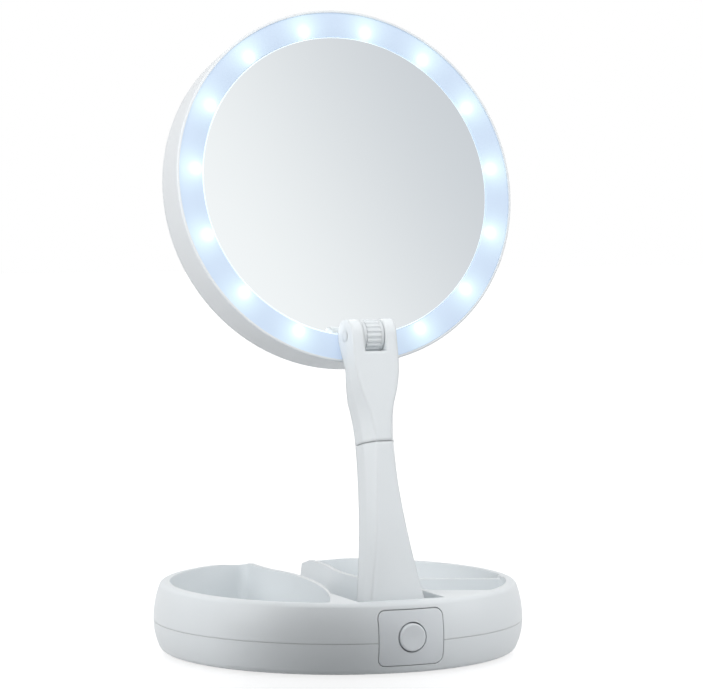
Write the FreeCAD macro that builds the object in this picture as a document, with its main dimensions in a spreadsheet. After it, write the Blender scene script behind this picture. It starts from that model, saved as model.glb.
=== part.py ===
import FreeCAD, Part
import math
import os
import Sketcher

# A folding makeup mirror with a ring of lights: a round base with compartments, a stem in two
# parts that folds down into a channel of the base, and a round head that closes over it as a lid.
# Millimetres, Z up, the user's side at -Y, origin on the table under the middle of the base.

doc = FreeCAD.newDocument("folding_mirror")
sheet = doc.addObject("Spreadsheet::Sheet", "dims")


class Size:
    """A number together with the sheet formula that it comes from."""

    def __init__(self, text, value):
        self.text = text
        self.value = value

    def __add__(self, other):
        other = as_size(other)
        return Size(f"({self.text} + {other.text})", self.value + other.value)

    def __radd__(self, other):
        return as_size(other) + self

    def __sub__(self, other):
        other = as_size(other)
        return Size(f"({self.text} - {other.text})", self.value - other.value)

    def __rsub__(self, other):
        return as_size(other) - self

    def __mul__(self, other):
        other = as_size(other)
        return Size(f"({self.text} * {other.text})", self.value * other.value)

    def __rmul__(self, other):
        return as_size(other) * self

    def __truediv__(self, other):
        other = as_size(other)
        return Size(f"({self.text} / {other.text})", self.value / other.value)

    def __neg__(self):
        return as_size(0) - self


def as_size(item):
    """Plain numbers become sizes with themselves as the formula."""
    if isinstance(item, Size):
        return item
    return Size(f"{float(item):.6f}", float(item))


def root(size):
    """Square root."""
    return Size(f"sqrt({size.text})", math.sqrt(size.value))


def cosine(angle):
    """Cosine of an angle in degrees."""
    return Size(f"cos({angle.text} * 1 deg)", math.cos(math.radians(angle.value)))


def sine(angle):
    """Sine of an angle in degrees."""
    return Size(f"sin({angle.text} * 1 deg)", math.sin(math.radians(angle.value)))


def arcsine(ratio):
    """Angle in degrees that has this sine."""
    return Size(f"asin({ratio.text}) / (1 deg)", math.degrees(math.asin(ratio.value)))


def bow(drop, rise):
    """Radius of the arc that leaves a line straight on and drops off by `drop` over `rise`."""
    return (rise * rise + drop * drop) / (drop * 2)


def ess(shift, rise):
    """Radius of the two equal arcs of a soft S that shifts sideways by `shift` over `rise`."""
    return (rise * rise + shift * shift) / (shift * 4)


def chord(radius, offset):
    """Half chord of a circle at a distance from its centre."""
    return root(radius * radius - offset * offset)


def dim(name, value):
    """Write one driving dimension to the sheet and hand it back as a size."""
    dim.row += 1
    sheet.set(f"A{dim.row}", name)
    sheet.set(f"B{dim.row}", str(value))
    sheet.setAlias(f"B{dim.row}", name)
    return Size(f"dims.{name}", float(value))


dim.row = 0

# Base
base_radius = dim("base_radius", 90)
rim_inset = dim("rim_inset", 3.6)
rim_radius = base_radius - rim_inset
bottom_inset = dim("bottom_inset", 4)
bottom_radius = base_radius - bottom_inset
parting_height = dim("parting_height", 16)
rim_height = dim("rim_height", 34.2)
foot_gap = dim("foot_gap", 1)
shell_wall = dim("shell_wall", 2.4)
deck_thick = dim("deck_thick", 2.2)
seam = dim("seam", 0.12)
rim_round = dim("rim_round", 2.2)
bottom_round = dim("bottom_round", 4)
tray_inset = dim("tray_inset", 8)
tray_radius = base_radius - tray_inset
tray_wall = dim("tray_wall", 2)
deep_floor = dim("deep_floor", 6.4)
shallow_floor = dim("shallow_floor", 20)
tray_corner = dim("tray_corner", 4)
land = dim("land", 2.5)
divider = dim("divider", 2.6)
foot_round = dim("foot_round", 5)
divider_left = dim("divider_left", 8)
divider_right = dim("divider_right", 13)
front_left_inset = dim("front_left_inset", 38)
front_left_y = base_radius - front_left_inset
front_right = dim("front_right", 50.5)
# Head, which closes over the base as a lid
head_inset = dim("head_inset", 3.2)
head_radius = base_radius - head_inset
pivot_inset = dim("pivot_inset", 11.5)
pivot_to_centre = head_radius - pivot_inset
# Stem and its fold: as long as brings the folded head over the middle of the base
hinge_inset = dim("hinge_inset", 21.5)
hinge_back = hinge_inset - base_radius
hinge_height = dim("hinge_height", 15)
lid_shift = dim("lid_shift", 0.3)
stem_length = pivot_to_centre - hinge_back - lid_shift
stem_lean = dim("stem_lean", 12.5)
stem_half_depth = dim("stem_half_depth", 8)
facet_depth = dim("facet_depth", 7)
foot_half = dim("foot_half", 15.8)
foot_front_half = dim("foot_front_half", 15.2)
waist_half = dim("waist_half", 8)
waist_front_half = dim("waist_front_half", 4)
fork_half = dim("fork_half", 12.2)
fork_front_half = dim("fork_front_half", 11.2)
upper_length = dim("upper_length", 51.5)
waist_along = stem_length - upper_length
swivel_gap = dim("swivel_gap", 0.3)
fold_pin_radius = dim("fold_pin_radius", 2.5)
run_fit = dim("run_fit", 0.05)
seat_fit = dim("seat_fit", 0.02)
part_gap = dim("part_gap", 0.3)
fold_slope = dim("fold_slope", 4.32)
flare_start = dim("flare_start", 10)
front_bow = dim("front_bow", 450)
shoulder = dim("shoulder", 40)
bracket_thick = dim("bracket_thick", 4.2)
bracket_round = dim("bracket_round", 6.5)
cover_half = dim("cover_half", 6.3)
cover_low = dim("cover_low", 9)
cover_thick = dim("cover_thick", 1.8)
duct_half = dim("duct_half", 3)
clip_room = dim("clip_room", 5.6)
spigot_radius = dim("spigot_radius", 4)
spigot_bore = dim("spigot_bore", 2.4)
lead_back = dim("lead_back", 5)
lead_radius = dim("lead_radius", 1.1)
# Channel that takes the folded stem
channel_clear = dim("channel_clear", 0.8)
channel_waist = dim("channel_waist", 10.8)
channel_back = dim("channel_back", 15.5)
channel_front = dim("channel_front", 22)
channel_step = dim("channel_step", 0.9)
channel_lead = dim("channel_lead", 0.5)
channel_widen = hinge_back + waist_along + shoulder - channel_lead
saddle_depth = dim("saddle_depth", 3.9)
saddle_inset = dim("saddle_inset", 14.5)
saddle_near = base_radius - saddle_inset
# Tilt joint and head
slot_half = dim("slot_half", 5.5)
slot_depth = dim("slot_depth", 8.6)
wheel_radius = dim("wheel_radius", 8)
wheel_half = dim("wheel_half", 3.5)
axle_radius = dim("axle_radius", 2)
tilt_back = dim("tilt_back", 20)
head_tilt = dim("head_tilt", 12.5)
face_set_back = dim("face_set_back", 9)
head_depth = dim("head_depth", 25)
head_wall = dim("head_wall", 2.4)
mirror_thick = dim("mirror_thick", 3)
mirror_set_back = dim("mirror_set_back", 1.2)
ring_inset = dim("ring_inset", 1.4)
ring_outer = head_radius - ring_inset
ring_width = dim("ring_width", 11.5)
ring_inner = ring_outer - ring_width
mirror_gap = dim("mirror_gap", 0.5)
mirror_radius = ring_inner - mirror_gap
ring_thick = dim("ring_thick", 2.2)
web_front = dim("web_front", 10.2)
web_thick = dim("web_thick", 2)
light_inset = dim("light_inset", 6)
light_circle = ring_outer - light_inset
light_count = dim("light_count", 14)
light_pitch = dim("light_pitch", 24)
light_size = dim("light_size", 3)
back_mirror_inset = dim("back_mirror_inset", 1)
back_mirror_radius = mirror_radius - back_mirror_inset
back_mirror_hollow = dim("back_mirror_hollow", 4.6)
glass = dim("back_glass", 2.4)
arm_low = dim("arm_low", 5.7)
screw_side = dim("yoke_screw_side", 9)
ring_edge = dim("ring_edge", 0.6)
back_round = dim("back_round", 2.2)
ridges = dim("ridges", 20)
# Switch, cells and the small pieces
panel_half_width = dim("panel_half_width", 16.5)
panel_low = dim("panel_low", 4.9)
panel_top_inset = dim("panel_top_inset", 3)
panel_high = rim_height - panel_top_inset
panel_corner = dim("panel_corner", 4)
panel_gap = dim("panel_gap", 0.35)
button_radius = dim("button_radius", 6.5)
button_gap = dim("button_gap", 0.6)
button_proud = dim("button_proud", 0.6)
cell_radius = dim("cell_radius", 5.25)
cell_length = dim("cell_length", 44.5)
cell_pitch = dim("cell_pitch", 11.4)
box_inset = dim("box_inset", 39)
box_x = base_radius - box_inset
board_half = dim("board_half", 14)
board_height = dim("board_height", 18)
screw_radius = dim("screw_radius", 1.3)
doc.recompute()


def origin_plane(body, role):
    """One of a body's own origin planes or axes."""
    for item in body.Origin.OriginFeatures:
        if item.Role == role:
            return item
    raise ValueError(role)


def new_body(label):
    """An empty body that carries the name of its piece."""
    body = doc.addObject("PartDesign::Body", label)
    body.Label = label
    body.AllowCompound = True
    return body


def new_sketch(body, role, height=None):
    """A sketch on an origin plane of the body, moved along the plane's normal."""
    sketch = body.newObject("Sketcher::SketchObject", f"{body.Name}_sketch")
    sketch.AttachmentSupport = [(origin_plane(body, role), "")]
    sketch.MapMode = "FlatFace"
    if height is not None:
        height = as_size(height)
        sketch.AttachmentOffset = FreeCAD.Placement(FreeCAD.Vector(0, 0, height.value), FreeCAD.Rotation())
        sketch.setExpression("AttachmentOffset.Base.z", height.text)
    return sketch


def hold(sketch, kind, where, size):
    """Add one dimension to a sketch and bind it to its formula."""
    index = sketch.addConstraint(Sketcher.Constraint(kind, *where, size.value))
    name = f"d{index}"
    sketch.renameConstraint(index, name)
    sketch.setExpression(f"Constraints.{name}", size.text)


def draw_circle(sketch, x, y, radius):
    """A full circle held by its centre and radius."""
    x = as_size(x)
    y = as_size(y)
    radius = as_size(radius)
    centre = FreeCAD.Vector(x.value, y.value, 0)
    index = sketch.addGeometry(Part.Circle(centre, FreeCAD.Vector(0, 0, 1), radius.value))
    hold(sketch, "DistanceX", (-1, 1, index, 3), x)
    hold(sketch, "DistanceY", (-1, 1, index, 3), y)
    hold(sketch, "Radius", (index,), radius)
    return sketch


def arc_between(start, end, radius, turn):
    """The shorter arc of a radius between two points, turning left (+1) or right (-1)."""
    along = end - start
    half = along.Length / 2
    rise = math.sqrt(max(radius * radius - half * half, 0))
    side = FreeCAD.Vector(-along.y, along.x, 0)
    side.normalize()
    centre = (start + end) / 2 + side * (rise * turn)
    first, last = (start, end) if turn > 0 else (end, start)
    begin = math.atan2(first.y - centre.y, first.x - centre.x)
    finish = math.atan2(last.y - centre.y, last.x - centre.x)
    if finish < begin:
        finish += 2 * math.pi
    circle = Part.Circle(centre, FreeCAD.Vector(0, 0, 1), radius)
    return Part.ArcOfCircle(circle, begin, finish)


def draw_loop(sketch, *corners):
    """A closed loop through corners held by their coordinates.

    A corner is (x, y), reached by a straight edge, or (x, y, radius, turn), reached by an arc.
    """
    places = [FreeCAD.Vector(as_size(c[0]).value, as_size(c[1]).value, 0) for c in corners]
    edges = []
    for number, corner in enumerate(corners):
        start = places[number - 1]
        end = places[number]
        if len(corner) == 2:
            index = sketch.addGeometry(Part.LineSegment(start, end))
            edges.append((index, 1, 2))
            continue
        radius = as_size(corner[2])
        index = sketch.addGeometry(arc_between(start, end, radius.value, corner[3]))
        edges.append((index, 1, 2) if corner[3] > 0 else (index, 2, 1))
    for number, (index, tail, tip) in enumerate(edges):
        following = edges[(number + 1) % len(edges)]
        sketch.addConstraint(Sketcher.Constraint("Coincident", index, tip, following[0], following[1]))
    for corner, (index, tail, tip) in zip(corners, edges):
        hold(sketch, "DistanceX", (-1, 1, index, tip), as_size(corner[0]))
        hold(sketch, "DistanceY", (-1, 1, index, tip), as_size(corner[1]))
        if len(corner) == 4:
            hold(sketch, "Radius", (index,), as_size(corner[2]))
    return sketch


def draw_box(sketch, x_low, x_high, y_low, y_high):
    """A rectangle."""
    return draw_loop(sketch, (x_low, y_low), (x_high, y_low), (x_high, y_high), (x_low, y_high))


def bind(feature, name, size):
    """Set a feature's property and bind it to its formula."""
    size = as_size(size)
    setattr(feature, name, size.value)
    feature.setExpression(name, size.text)


def pad(body, sketch, length, both=False, back=False):
    """Raise a sketch along its normal, against it, or half to each side."""
    feature = body.newObject("PartDesign::Pad", f"{body.Name}_pad")
    feature.Profile = sketch
    bind(feature, "Length", length)
    feature.Reversed = back
    if both:
        feature.SideType = "Symmetric"
    doc.recompute()
    return feature


def cut(body, sketch, length, both=False, along=False):
    """Sink a sketch against its normal, along it, or half to each side; it must remove something."""
    before = body.Shape.Volume
    feature = body.newObject("PartDesign::Pocket", f"{body.Name}_cut")
    feature.Profile = sketch
    bind(feature, "Length", length)
    feature.Reversed = along
    if both:
        feature.SideType = "Symmetric"
    doc.recompute()
    if not body.Shape.Volume < before - 1e-6:
        raise ValueError(f"{body.Label}: a cut removes nothing")
    return feature


def spin(body, sketch, angle=360, middle=False):
    """Turn a sketch about its own vertical axis."""
    feature = body.newObject("PartDesign::Revolution", f"{body.Name}_spin")
    feature.Profile = sketch
    feature.ReferenceAxis = (sketch, ["V_Axis"])
    bind(feature, "Angle", angle)
    feature.Midplane = middle
    doc.recompute()
    return feature


def soften(body, radius, wanted):
    """Round the edges of the body that `wanted` picks out by their place."""
    names = []
    for number, edge in enumerate(body.Tip.Shape.Edges):
        if wanted(edge):
            names.append(f"Edge{number + 1}")
    if not names:
        raise ValueError(f"{body.Label}: no edge to round")
    base = body.Tip
    feature = body.newObject("PartDesign::Fillet", f"{body.Name}_round")
    feature.Base = (base, names)
    bind(feature, "Radius", radius)
    doc.recompute()
    return feature


def ring_pattern(body, feature, count, whole_angle, axis="Z_Axis"):
    """Repeat a feature about one of the body's axes."""
    pattern = body.newObject("PartDesign::PolarPattern", f"{body.Name}_ring")
    pattern.Originals = [feature]
    pattern.Axis = (origin_plane(body, axis), [""])
    bind(pattern, "Angle", whole_angle)
    pattern.setExpression("Occurrences", as_size(count).text)
    pattern.Occurrences = int(round(as_size(count).value))
    body.Tip = pattern
    doc.recompute()
    return pattern


class Frame:
    """Where a group of pieces sits: a point in the YZ plane and a lean backward in degrees."""

    def __init__(self, back, height, lean):
        self.back = as_size(back)
        self.height = as_size(height)
        self.lean = as_size(lean)

    def take(self, piece):
        """Put a piece into this frame."""
        turn = FreeCAD.Rotation(FreeCAD.Vector(-1, 0, 0), self.lean.value)
        piece.Placement = FreeCAD.Placement(FreeCAD.Vector(0, self.back.value, self.height.value), turn)
        piece.setExpression("Placement.Base.y", self.back.text)
        piece.setExpression("Placement.Base.z", self.height.text)
        piece.setExpression("Placement.Rotation.Angle", f"{self.lean.text} * 1 deg")
        return piece


def rod(name, radius, length, x=0, y=0, z=0):
    """A plain upright cylinder."""
    piece = doc.addObject("Part::Cylinder", name)
    bind(piece, "Radius", radius)
    bind(piece, "Height", length)
    set_down(piece, x, y, z)
    return piece


def block(name, width, depth, height, x=0, y=0, z=0):
    """A plain box, given by its low corner."""
    piece = doc.addObject("Part::Box", name)
    bind(piece, "Length", width)
    bind(piece, "Width", depth)
    bind(piece, "Height", height)
    set_down(piece, x, y, z)
    return piece


def set_down(piece, x, y, z):
    """Place a primitive, each coordinate bound to its formula."""
    sizes = [as_size(x), as_size(y), as_size(z)]
    piece.Placement.Base = FreeCAD.Vector(*[size.value for size in sizes])
    for axis, size in zip("xyz", sizes):
        piece.setExpression(f"Placement.Base.{axis}", size.text)


def lay(piece, axis):
    """Turn a primitive so that its length runs along X or along +Y."""
    if axis == "x":
        piece.Placement.Rotation = FreeCAD.Rotation(FreeCAD.Vector(0, 1, 0), 90)
    else:
        piece.Placement.Rotation = FreeCAD.Rotation(FreeCAD.Vector(1, 0, 0), -90)
    return piece


def gather(label, members):
    """Several separate solids of one kind as one piece."""
    group = doc.addObject("Part::Compound", label)
    group.Label = label
    group.Links = members
    return group


def join(label, members):
    """Solids that are one moulding."""
    piece = doc.addObject("Part::MultiFuse", label)
    piece.Label = label
    piece.Shapes = members
    return piece


def minus(label, solid, tool):
    """One solid less another."""
    piece = doc.addObject("Part::Cut", label)
    piece.Label = label
    piece.Base = solid
    piece.Tool = tool
    return piece


def near(value, target, slack=0.05):
    """True when two numbers agree."""
    return abs(value - target) < slack


def upright(edge):
    """True for a straight edge along Z."""
    if not isinstance(edge.Curve, Part.Line):
        return False
    return abs(abs(edge.tangentAt(edge.FirstParameter).z) - 1) < 1e-6


# Frames: the stem in the photographed pose, the folded stem, the pivot of the head, the head's face
stem_frame = Frame(hinge_back, hinge_height, stem_lean)
floor_frame = Frame(hinge_back, hinge_height, -fold_slope)
pivot_back = hinge_back + stem_length * sine(stem_lean)
pivot_height = hinge_height + stem_length * cosine(stem_lean)
pivot_frame = Frame(pivot_back, pivot_height, head_tilt)
face_back = pivot_back + pivot_to_centre * sine(head_tilt) + face_set_back * cosine(head_tilt)
face_height = pivot_height + pivot_to_centre * cosine(head_tilt) - face_set_back * sine(head_tilt)
head_frame = Frame(face_back, face_height, head_tilt + 90)

# Barrel profile shared by the two shells and the switch panel
top_start = parting_height + seam
top_bow = bow(base_radius - rim_radius, rim_height - top_start)
low_bow = bow(base_radius - bottom_radius, parting_height - foot_gap)
plate_top = foot_gap + deck_thick


def top_wall(depth, height):
    """Radius of the upper barrel, `depth` under its skin, at a height."""
    return base_radius - top_bow + chord(top_bow - depth, height - top_start)


def low_wall(depth, height):
    """Radius of the lower barrel, `depth` under its skin, at a height."""
    return base_radius - low_bow + chord(low_bow - depth, parting_height - height)


# Lower shell
lower = new_body("base_lower_shell")
sketch = new_sketch(lower, "XZ_Plane")
bottom_shoulder = foot_gap + bottom_round * 0.6
draw_loop(
    sketch,
    (0, foot_gap),
    (low_wall(as_size(0), bottom_shoulder) - bottom_round, foot_gap),
    (low_wall(as_size(0), bottom_shoulder), bottom_shoulder, bottom_round, 1),
    (base_radius, parting_height, low_bow, 1),
    (base_radius - shell_wall, parting_height),
    (low_wall(shell_wall, plate_top), plate_top, low_bow - shell_wall, -1),
    (0, plate_top),
)
spin(lower, sketch)
# Tongue inside the parting line, open at the front for the switch panel
tongue_out = base_radius - shell_wall - 0.15
tongue_in = tongue_out - 1.4
tongue_top = parting_height + 2.4
sketch = new_sketch(lower, "YZ_Plane")
draw_box(sketch, tongue_in, tongue_out + 0.4, parting_height - 3, parting_height - 0.2)
spin(lower, sketch, 326, True)
sketch = new_sketch(lower, "YZ_Plane")
draw_box(sketch, tongue_in, tongue_out, parting_height - 1, tongue_top)
spin(lower, sketch, 326, True)
# Battery box under the right compartments: walls and roof
box_half_x = cell_pitch * 2 + 1
box_half_y = cell_length / 2 + 3.2
box_wall = tray_wall * 0.8
box_roof = plate_top + cell_radius * 2 + 1.4
sketch = new_sketch(lower, "XY_Plane", plate_top - 0.4)
draw_box(
    sketch,
    box_x - box_half_x - box_wall,
    box_x + box_half_x + box_wall,
    -box_half_y - box_wall,
    box_half_y + box_wall,
)
pad(lower, sketch, box_roof + box_wall - plate_top + 0.4)
sketch = new_sketch(lower, "XY_Plane", foot_gap - 1)
draw_box(sketch, box_x - box_half_x, box_x + box_half_x, -box_half_y, box_half_y)
cut(lower, sketch, box_roof - foot_gap + 1, along=True)
# Window for the switch panel
sketch = new_sketch(lower, "XZ_Plane", base_radius - 12)
draw_box(sketch, -panel_half_width, panel_half_width, panel_low, parting_height + 9)
cut(lower, sketch, 20, along=True)
soften(
    lower,
    panel_corner,
    lambda e: isinstance(e.Curve, Part.Line)
    and near(abs(e.CenterOfMass.x), panel_half_width.value)
    and near(e.BoundBox.ZMax, panel_low.value)
    and near(e.BoundBox.ZMin, panel_low.value),
)
# Seats of the four feet and the three shell screws
foot_x = base_radius * 0.67
foot_y = base_radius * 0.47
foot_places = [(foot_x, foot_y), (-foot_x, foot_y), (-foot_x, -foot_y), (foot_x, -foot_y)]
screw_x = base_radius * 0.322
screw_y = base_radius * 0.711
screw_places = [(-screw_x, -screw_y), (screw_x, -screw_y), (as_size(0), screw_y)]
head_round = screw_radius * 1.9
sketch = new_sketch(lower, "XY_Plane", foot_gap - 1)
for x, y in foot_places:
    draw_circle(sketch, x, y, foot_round + 0.1)
cut(lower, sketch, 2, along=True)
sketch = new_sketch(lower, "XY_Plane", foot_gap - 1)
for x, y in screw_places:
    draw_circle(sketch, x, y, head_round + 0.2)
cut(lower, sketch, 2.2, along=True)
sketch = new_sketch(lower, "XY_Plane", foot_gap - 1)
for x, y in screw_places:
    draw_circle(sketch, x, y, screw_radius + 0.2)
cut(lower, sketch, 6, along=True)

# Upper shell: barrel wall and deck, with a core that holds the compartments and the channel
upper = new_body("base_upper_shell")
sketch = new_sketch(upper, "XZ_Plane")
deck_under = rim_height - deck_thick
rim_shoulder = rim_height - rim_round
draw_loop(
    sketch,
    (base_radius, top_start),
    (top_wall(as_size(0), rim_shoulder), rim_shoulder, top_bow, 1),
    (top_wall(as_size(0), rim_shoulder) - rim_round * 1.2, rim_height, rim_round * 1.3, 1),
    (0, rim_height),
    (0, deck_under),
    (top_wall(shell_wall, deck_under), deck_under),
    (base_radius - shell_wall, top_start, top_bow - shell_wall, -1),
)
spin(upper, sketch)
core_radius = tray_radius + tray_wall
core_front = hinge_back - stem_half_depth - channel_clear * 1.4 - tray_wall * 0.6
core_side = chord(core_radius, core_front)
sketch = new_sketch(upper, "XY_Plane", shallow_floor - tray_wall)
draw_loop(
    sketch,
    (core_side, core_front),
    (0, core_radius, core_radius, 1),
    (-core_side, core_front, core_radius, 1),
)
pad(upper, sketch, deck_under - shallow_floor + tray_wall + deck_thick / 2)
low_core = channel_front + land
low_core_top = chord(core_radius, low_core)
core_bottom = plate_top + 1
sketch = new_sketch(upper, "XY_Plane", core_bottom)
draw_loop(
    sketch,
    (low_core, core_front),
    (low_core, low_core_top),
    (0, core_radius, core_radius, 1),
    (-core_side, core_front, core_radius, 1),
)
pad(upper, sketch, shallow_floor - core_bottom)
# Screw pillars down to the lower shell
sketch = new_sketch(upper, "XY_Plane", plate_top)
for x, y in screw_places:
    draw_circle(sketch, x, y, screw_radius * 2.8)
pad(upper, sketch, shallow_floor - plate_top)

# Filling between core and barrel at the channel's mouth: the channel cuts its middle away again, and
# its ends stay as cheeks that close the hollow barrel. It keeps clear of the lower shell's tongue.
cheek_in = core_radius - tray_wall / 2
cheek_low = tongue_top + part_gap
cheek_top = deck_under + deck_thick / 2
cheek_skin = shell_wall / 2
sketch = new_sketch(upper, "YZ_Plane")
draw_loop(
    sketch,
    (cheek_in, top_start),
    (tongue_in - part_gap, top_start),
    (tongue_in - part_gap, cheek_low),
    (top_wall(cheek_skin, cheek_low), cheek_low),
    (top_wall(cheek_skin, cheek_top), cheek_top, top_bow - cheek_skin, 1),
    (cheek_in, cheek_top),
)
spin(upper, sketch, arcsine((channel_back + land) / core_radius) * 2, True)

# Channel: an hourglass in plan, its waist where the waist of the folded stem lies
channel_neck = hinge_back + waist_along
channel_far = base_radius + 3
channel_near = hinge_back - stem_half_depth - channel_clear * 1.4
channel_turn = channel_neck - 67
neck_front_bow = bow(channel_front - channel_waist, channel_neck - channel_turn)
neck_back_rise = channel_widen - channel_neck
neck_back_middle = channel_neck + neck_back_rise / 2
neck_back_ess = ess(channel_back - channel_waist, neck_back_rise)


def draw_channel(sketch, inset):
    """Outline of the stem channel, open through the back of the rim."""
    front = channel_front - inset
    waist = channel_waist - inset
    back = channel_back - inset
    near_edge = channel_near + inset * 1.6
    return draw_loop(
        sketch,
        (-front, near_edge),
        (front, near_edge),
        (front, channel_turn),
        (waist, channel_neck, neck_front_bow, -1),
        ((waist + back) / 2, neck_back_middle, neck_back_ess, -1),
        (back, channel_widen, neck_back_ess, 1),
        (back, channel_far),
        (-back, channel_far),
        (-back, channel_widen),
        (-(waist + back) / 2, neck_back_middle, neck_back_ess, 1),
        (-waist, channel_neck, neck_back_ess, -1),
        (-front, channel_turn, neck_front_bow, -1),
    )


flat_cut = shallow_floor - 0.6
sketch = new_sketch(upper, "XY_Plane", rim_height + 1)
draw_channel(sketch, as_size(0))
cut(upper, sketch, rim_height + 1 - flat_cut)
slope_level = hinge_height - hinge_back * sine(fold_slope) / cosine(fold_slope)
slope_level = slope_level - (stem_half_depth + channel_clear) / cosine(fold_slope)
sketch = new_sketch(upper, "XY_Plane", slope_level)
draw_channel(sketch, channel_step)
sketch.AttachmentOffset = FreeCAD.Placement(
    FreeCAD.Vector(0, 0, slope_level.value),
    FreeCAD.Rotation(FreeCAD.Vector(1, 0, 0), fold_slope.value),
)
sketch.setExpression("AttachmentOffset.Rotation.Angle", f"{fold_slope.text} * 1 deg")
cut(upper, sketch, 14, along=True)

# Left compartment, deep; its inner wall bows round the channel
left_back_x = channel_back + land
left_neck = channel_waist + land
left_middle = (left_back_x + left_neck) / 2
left_front_x = tray_radius * 0.427
left_front_y = chord(tray_radius, left_front_x)
tray_top = rim_height + 1
sketch = new_sketch(upper, "XY_Plane", tray_top)
draw_loop(
    sketch,
    (-left_front_x, -left_front_y, bow(left_front_x - left_neck, left_front_y + channel_neck), -1),
    (-left_back_x, chord(tray_radius, left_back_x), tray_radius, -1),
    (-left_back_x, channel_widen),
    (-left_middle, neck_back_middle, neck_back_ess, 1),
    (-left_neck, channel_neck, neck_back_ess, -1),
)
cut(upper, sketch, tray_top - deep_floor)

# Right compartments, shallow over the cells, with a slanting divider between them
wall_bow = bow(left_front_x - left_neck, left_front_y + channel_neck)
step_x = left_neck + (channel_neck - divider_left) * (channel_neck - divider_left) / (wall_bow * 2)
divider_end = divider_right + divider * 57.3 / tray_radius
low_step = divider_left - divider
low_step_x = left_neck + (channel_neck - low_step) * (channel_neck - low_step) / (wall_bow * 2)
front_fall = channel_neck + front_left_y
front_left_x = left_neck + front_fall * front_fall / (wall_bow * 2)
sketch = new_sketch(upper, "XY_Plane", tray_top)
draw_loop(
    sketch,
    (left_back_x, channel_widen),
    (left_middle, neck_back_middle, neck_back_ess, -1),
    (left_neck, channel_neck, neck_back_ess, 1),
    (step_x, divider_left, wall_bow, 1),
    (tray_radius * cosine(divider_right), -tray_radius * sine(divider_right)),
    (left_back_x, chord(tray_radius, left_back_x), tray_radius, 1),
)
cut(upper, sketch, tray_top - shallow_floor)
sketch = new_sketch(upper, "XY_Plane", tray_top)
draw_loop(
    sketch,
    (low_step_x, low_step),
    (front_left_x, -front_left_y, wall_bow, 1),
    (tray_radius * cosine(front_right), -tray_radius * sine(front_right)),
    (tray_radius * cosine(divider_end), -tray_radius * sine(divider_end), tray_radius, 1),
)
cut(upper, sketch, tray_top - shallow_floor)
# Upright corners of the compartments
tray_corners = [
    (-left_front_x, -left_front_y),
    (-left_back_x, chord(tray_radius, left_back_x)),
    (left_back_x, chord(tray_radius, left_back_x)),
    (step_x, divider_left),
    (tray_radius * cosine(divider_right), -tray_radius * sine(divider_right)),
    (low_step_x, low_step),
    (front_left_x, -front_left_y),
    (tray_radius * cosine(front_right), -tray_radius * sine(front_right)),
    (tray_radius * cosine(divider_end), -tray_radius * sine(divider_end)),
]


def at_tray_corner(edge):
    """True for the upright edges in the corners of the compartments."""
    if not upright(edge):
        return False
    spot = edge.CenterOfMass
    return any(math.hypot(spot.x - x.value, spot.y - y.value) < 0.1 for x, y in tray_corners)


soften(upper, tray_corner, at_tray_corner)
# The divider stands a little lower than the rim
sketch = new_sketch(upper, "XY_Plane", tray_top)
draw_loop(
    sketch,
    (step_x + 2, divider_left + 1),
    (low_step_x + 2, low_step - 1.8),
    (tray_radius * 0.99 * cosine(divider_end + 0.6), -tray_radius * 0.99 * sine(divider_end + 0.6)),
    (tray_radius * 0.99 * cosine(divider_right - 0.6), -tray_radius * 0.99 * sine(divider_right - 0.6)),
)
cut(upper, sketch, 2.2)
# Saddle in the back of the rim, into which the head's lower edge sinks as the lid is lifted
sketch = new_sketch(upper, "YZ_Plane")
draw_loop(
    sketch,
    (saddle_near, rim_height),
    (base_radius, rim_height - saddle_depth),
    (base_radius, rim_height + 5),
    (saddle_near, rim_height + 5),
)
cut(upper, sketch, base_radius * 2, both=True)
# Window for the switch panel and pilot holes of the shell screws
sketch = new_sketch(upper, "XZ_Plane", base_radius - 9)
draw_box(sketch, -panel_half_width, panel_half_width, parting_height - 9, panel_high)
cut(upper, sketch, 20, along=True)
soften(
    upper,
    panel_corner,
    lambda e: isinstance(e.Curve, Part.Line)
    and near(abs(e.CenterOfMass.x), panel_half_width.value)
    and near(e.BoundBox.ZMax, panel_high.value)
    and near(e.BoundBox.ZMin, panel_high.value),
)
sketch = new_sketch(upper, "XY_Plane", plate_top - 1)
for x, y in screw_places:
    draw_circle(sketch, x, y, screw_radius + seat_fit)
cut(upper, sketch, 9.5, along=True)

# Switch panel: a piece of the barrel skin with a flange behind the shells
skin_back = shell_wall + 0.4


def draw_skin(sketch, low, high, front, back):
    """Section of the barrel wall between two heights and two depths, on the front side."""
    return draw_loop(
        sketch,
        (-low_wall(front, low), low, low_bow - front, 1),
        (-low_wall(back, low), low),
        (-base_radius + back, parting_height, low_bow - back, -1),
        (-base_radius + back, top_start),
        (-top_wall(back, high), high, top_bow - back, -1),
        (-top_wall(front, high), high),
        (-base_radius + front, top_start, top_bow - front, 1),
        (-base_radius + front, parting_height),
    )


def draw_frame(sketch, half, low, high, reach):
    """A rectangle inside a much larger one: what lies between them is cut away."""
    draw_box(sketch, -half - reach, half + reach, low - reach, high + reach)
    return draw_box(sketch, -half, half, low, high)


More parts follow.
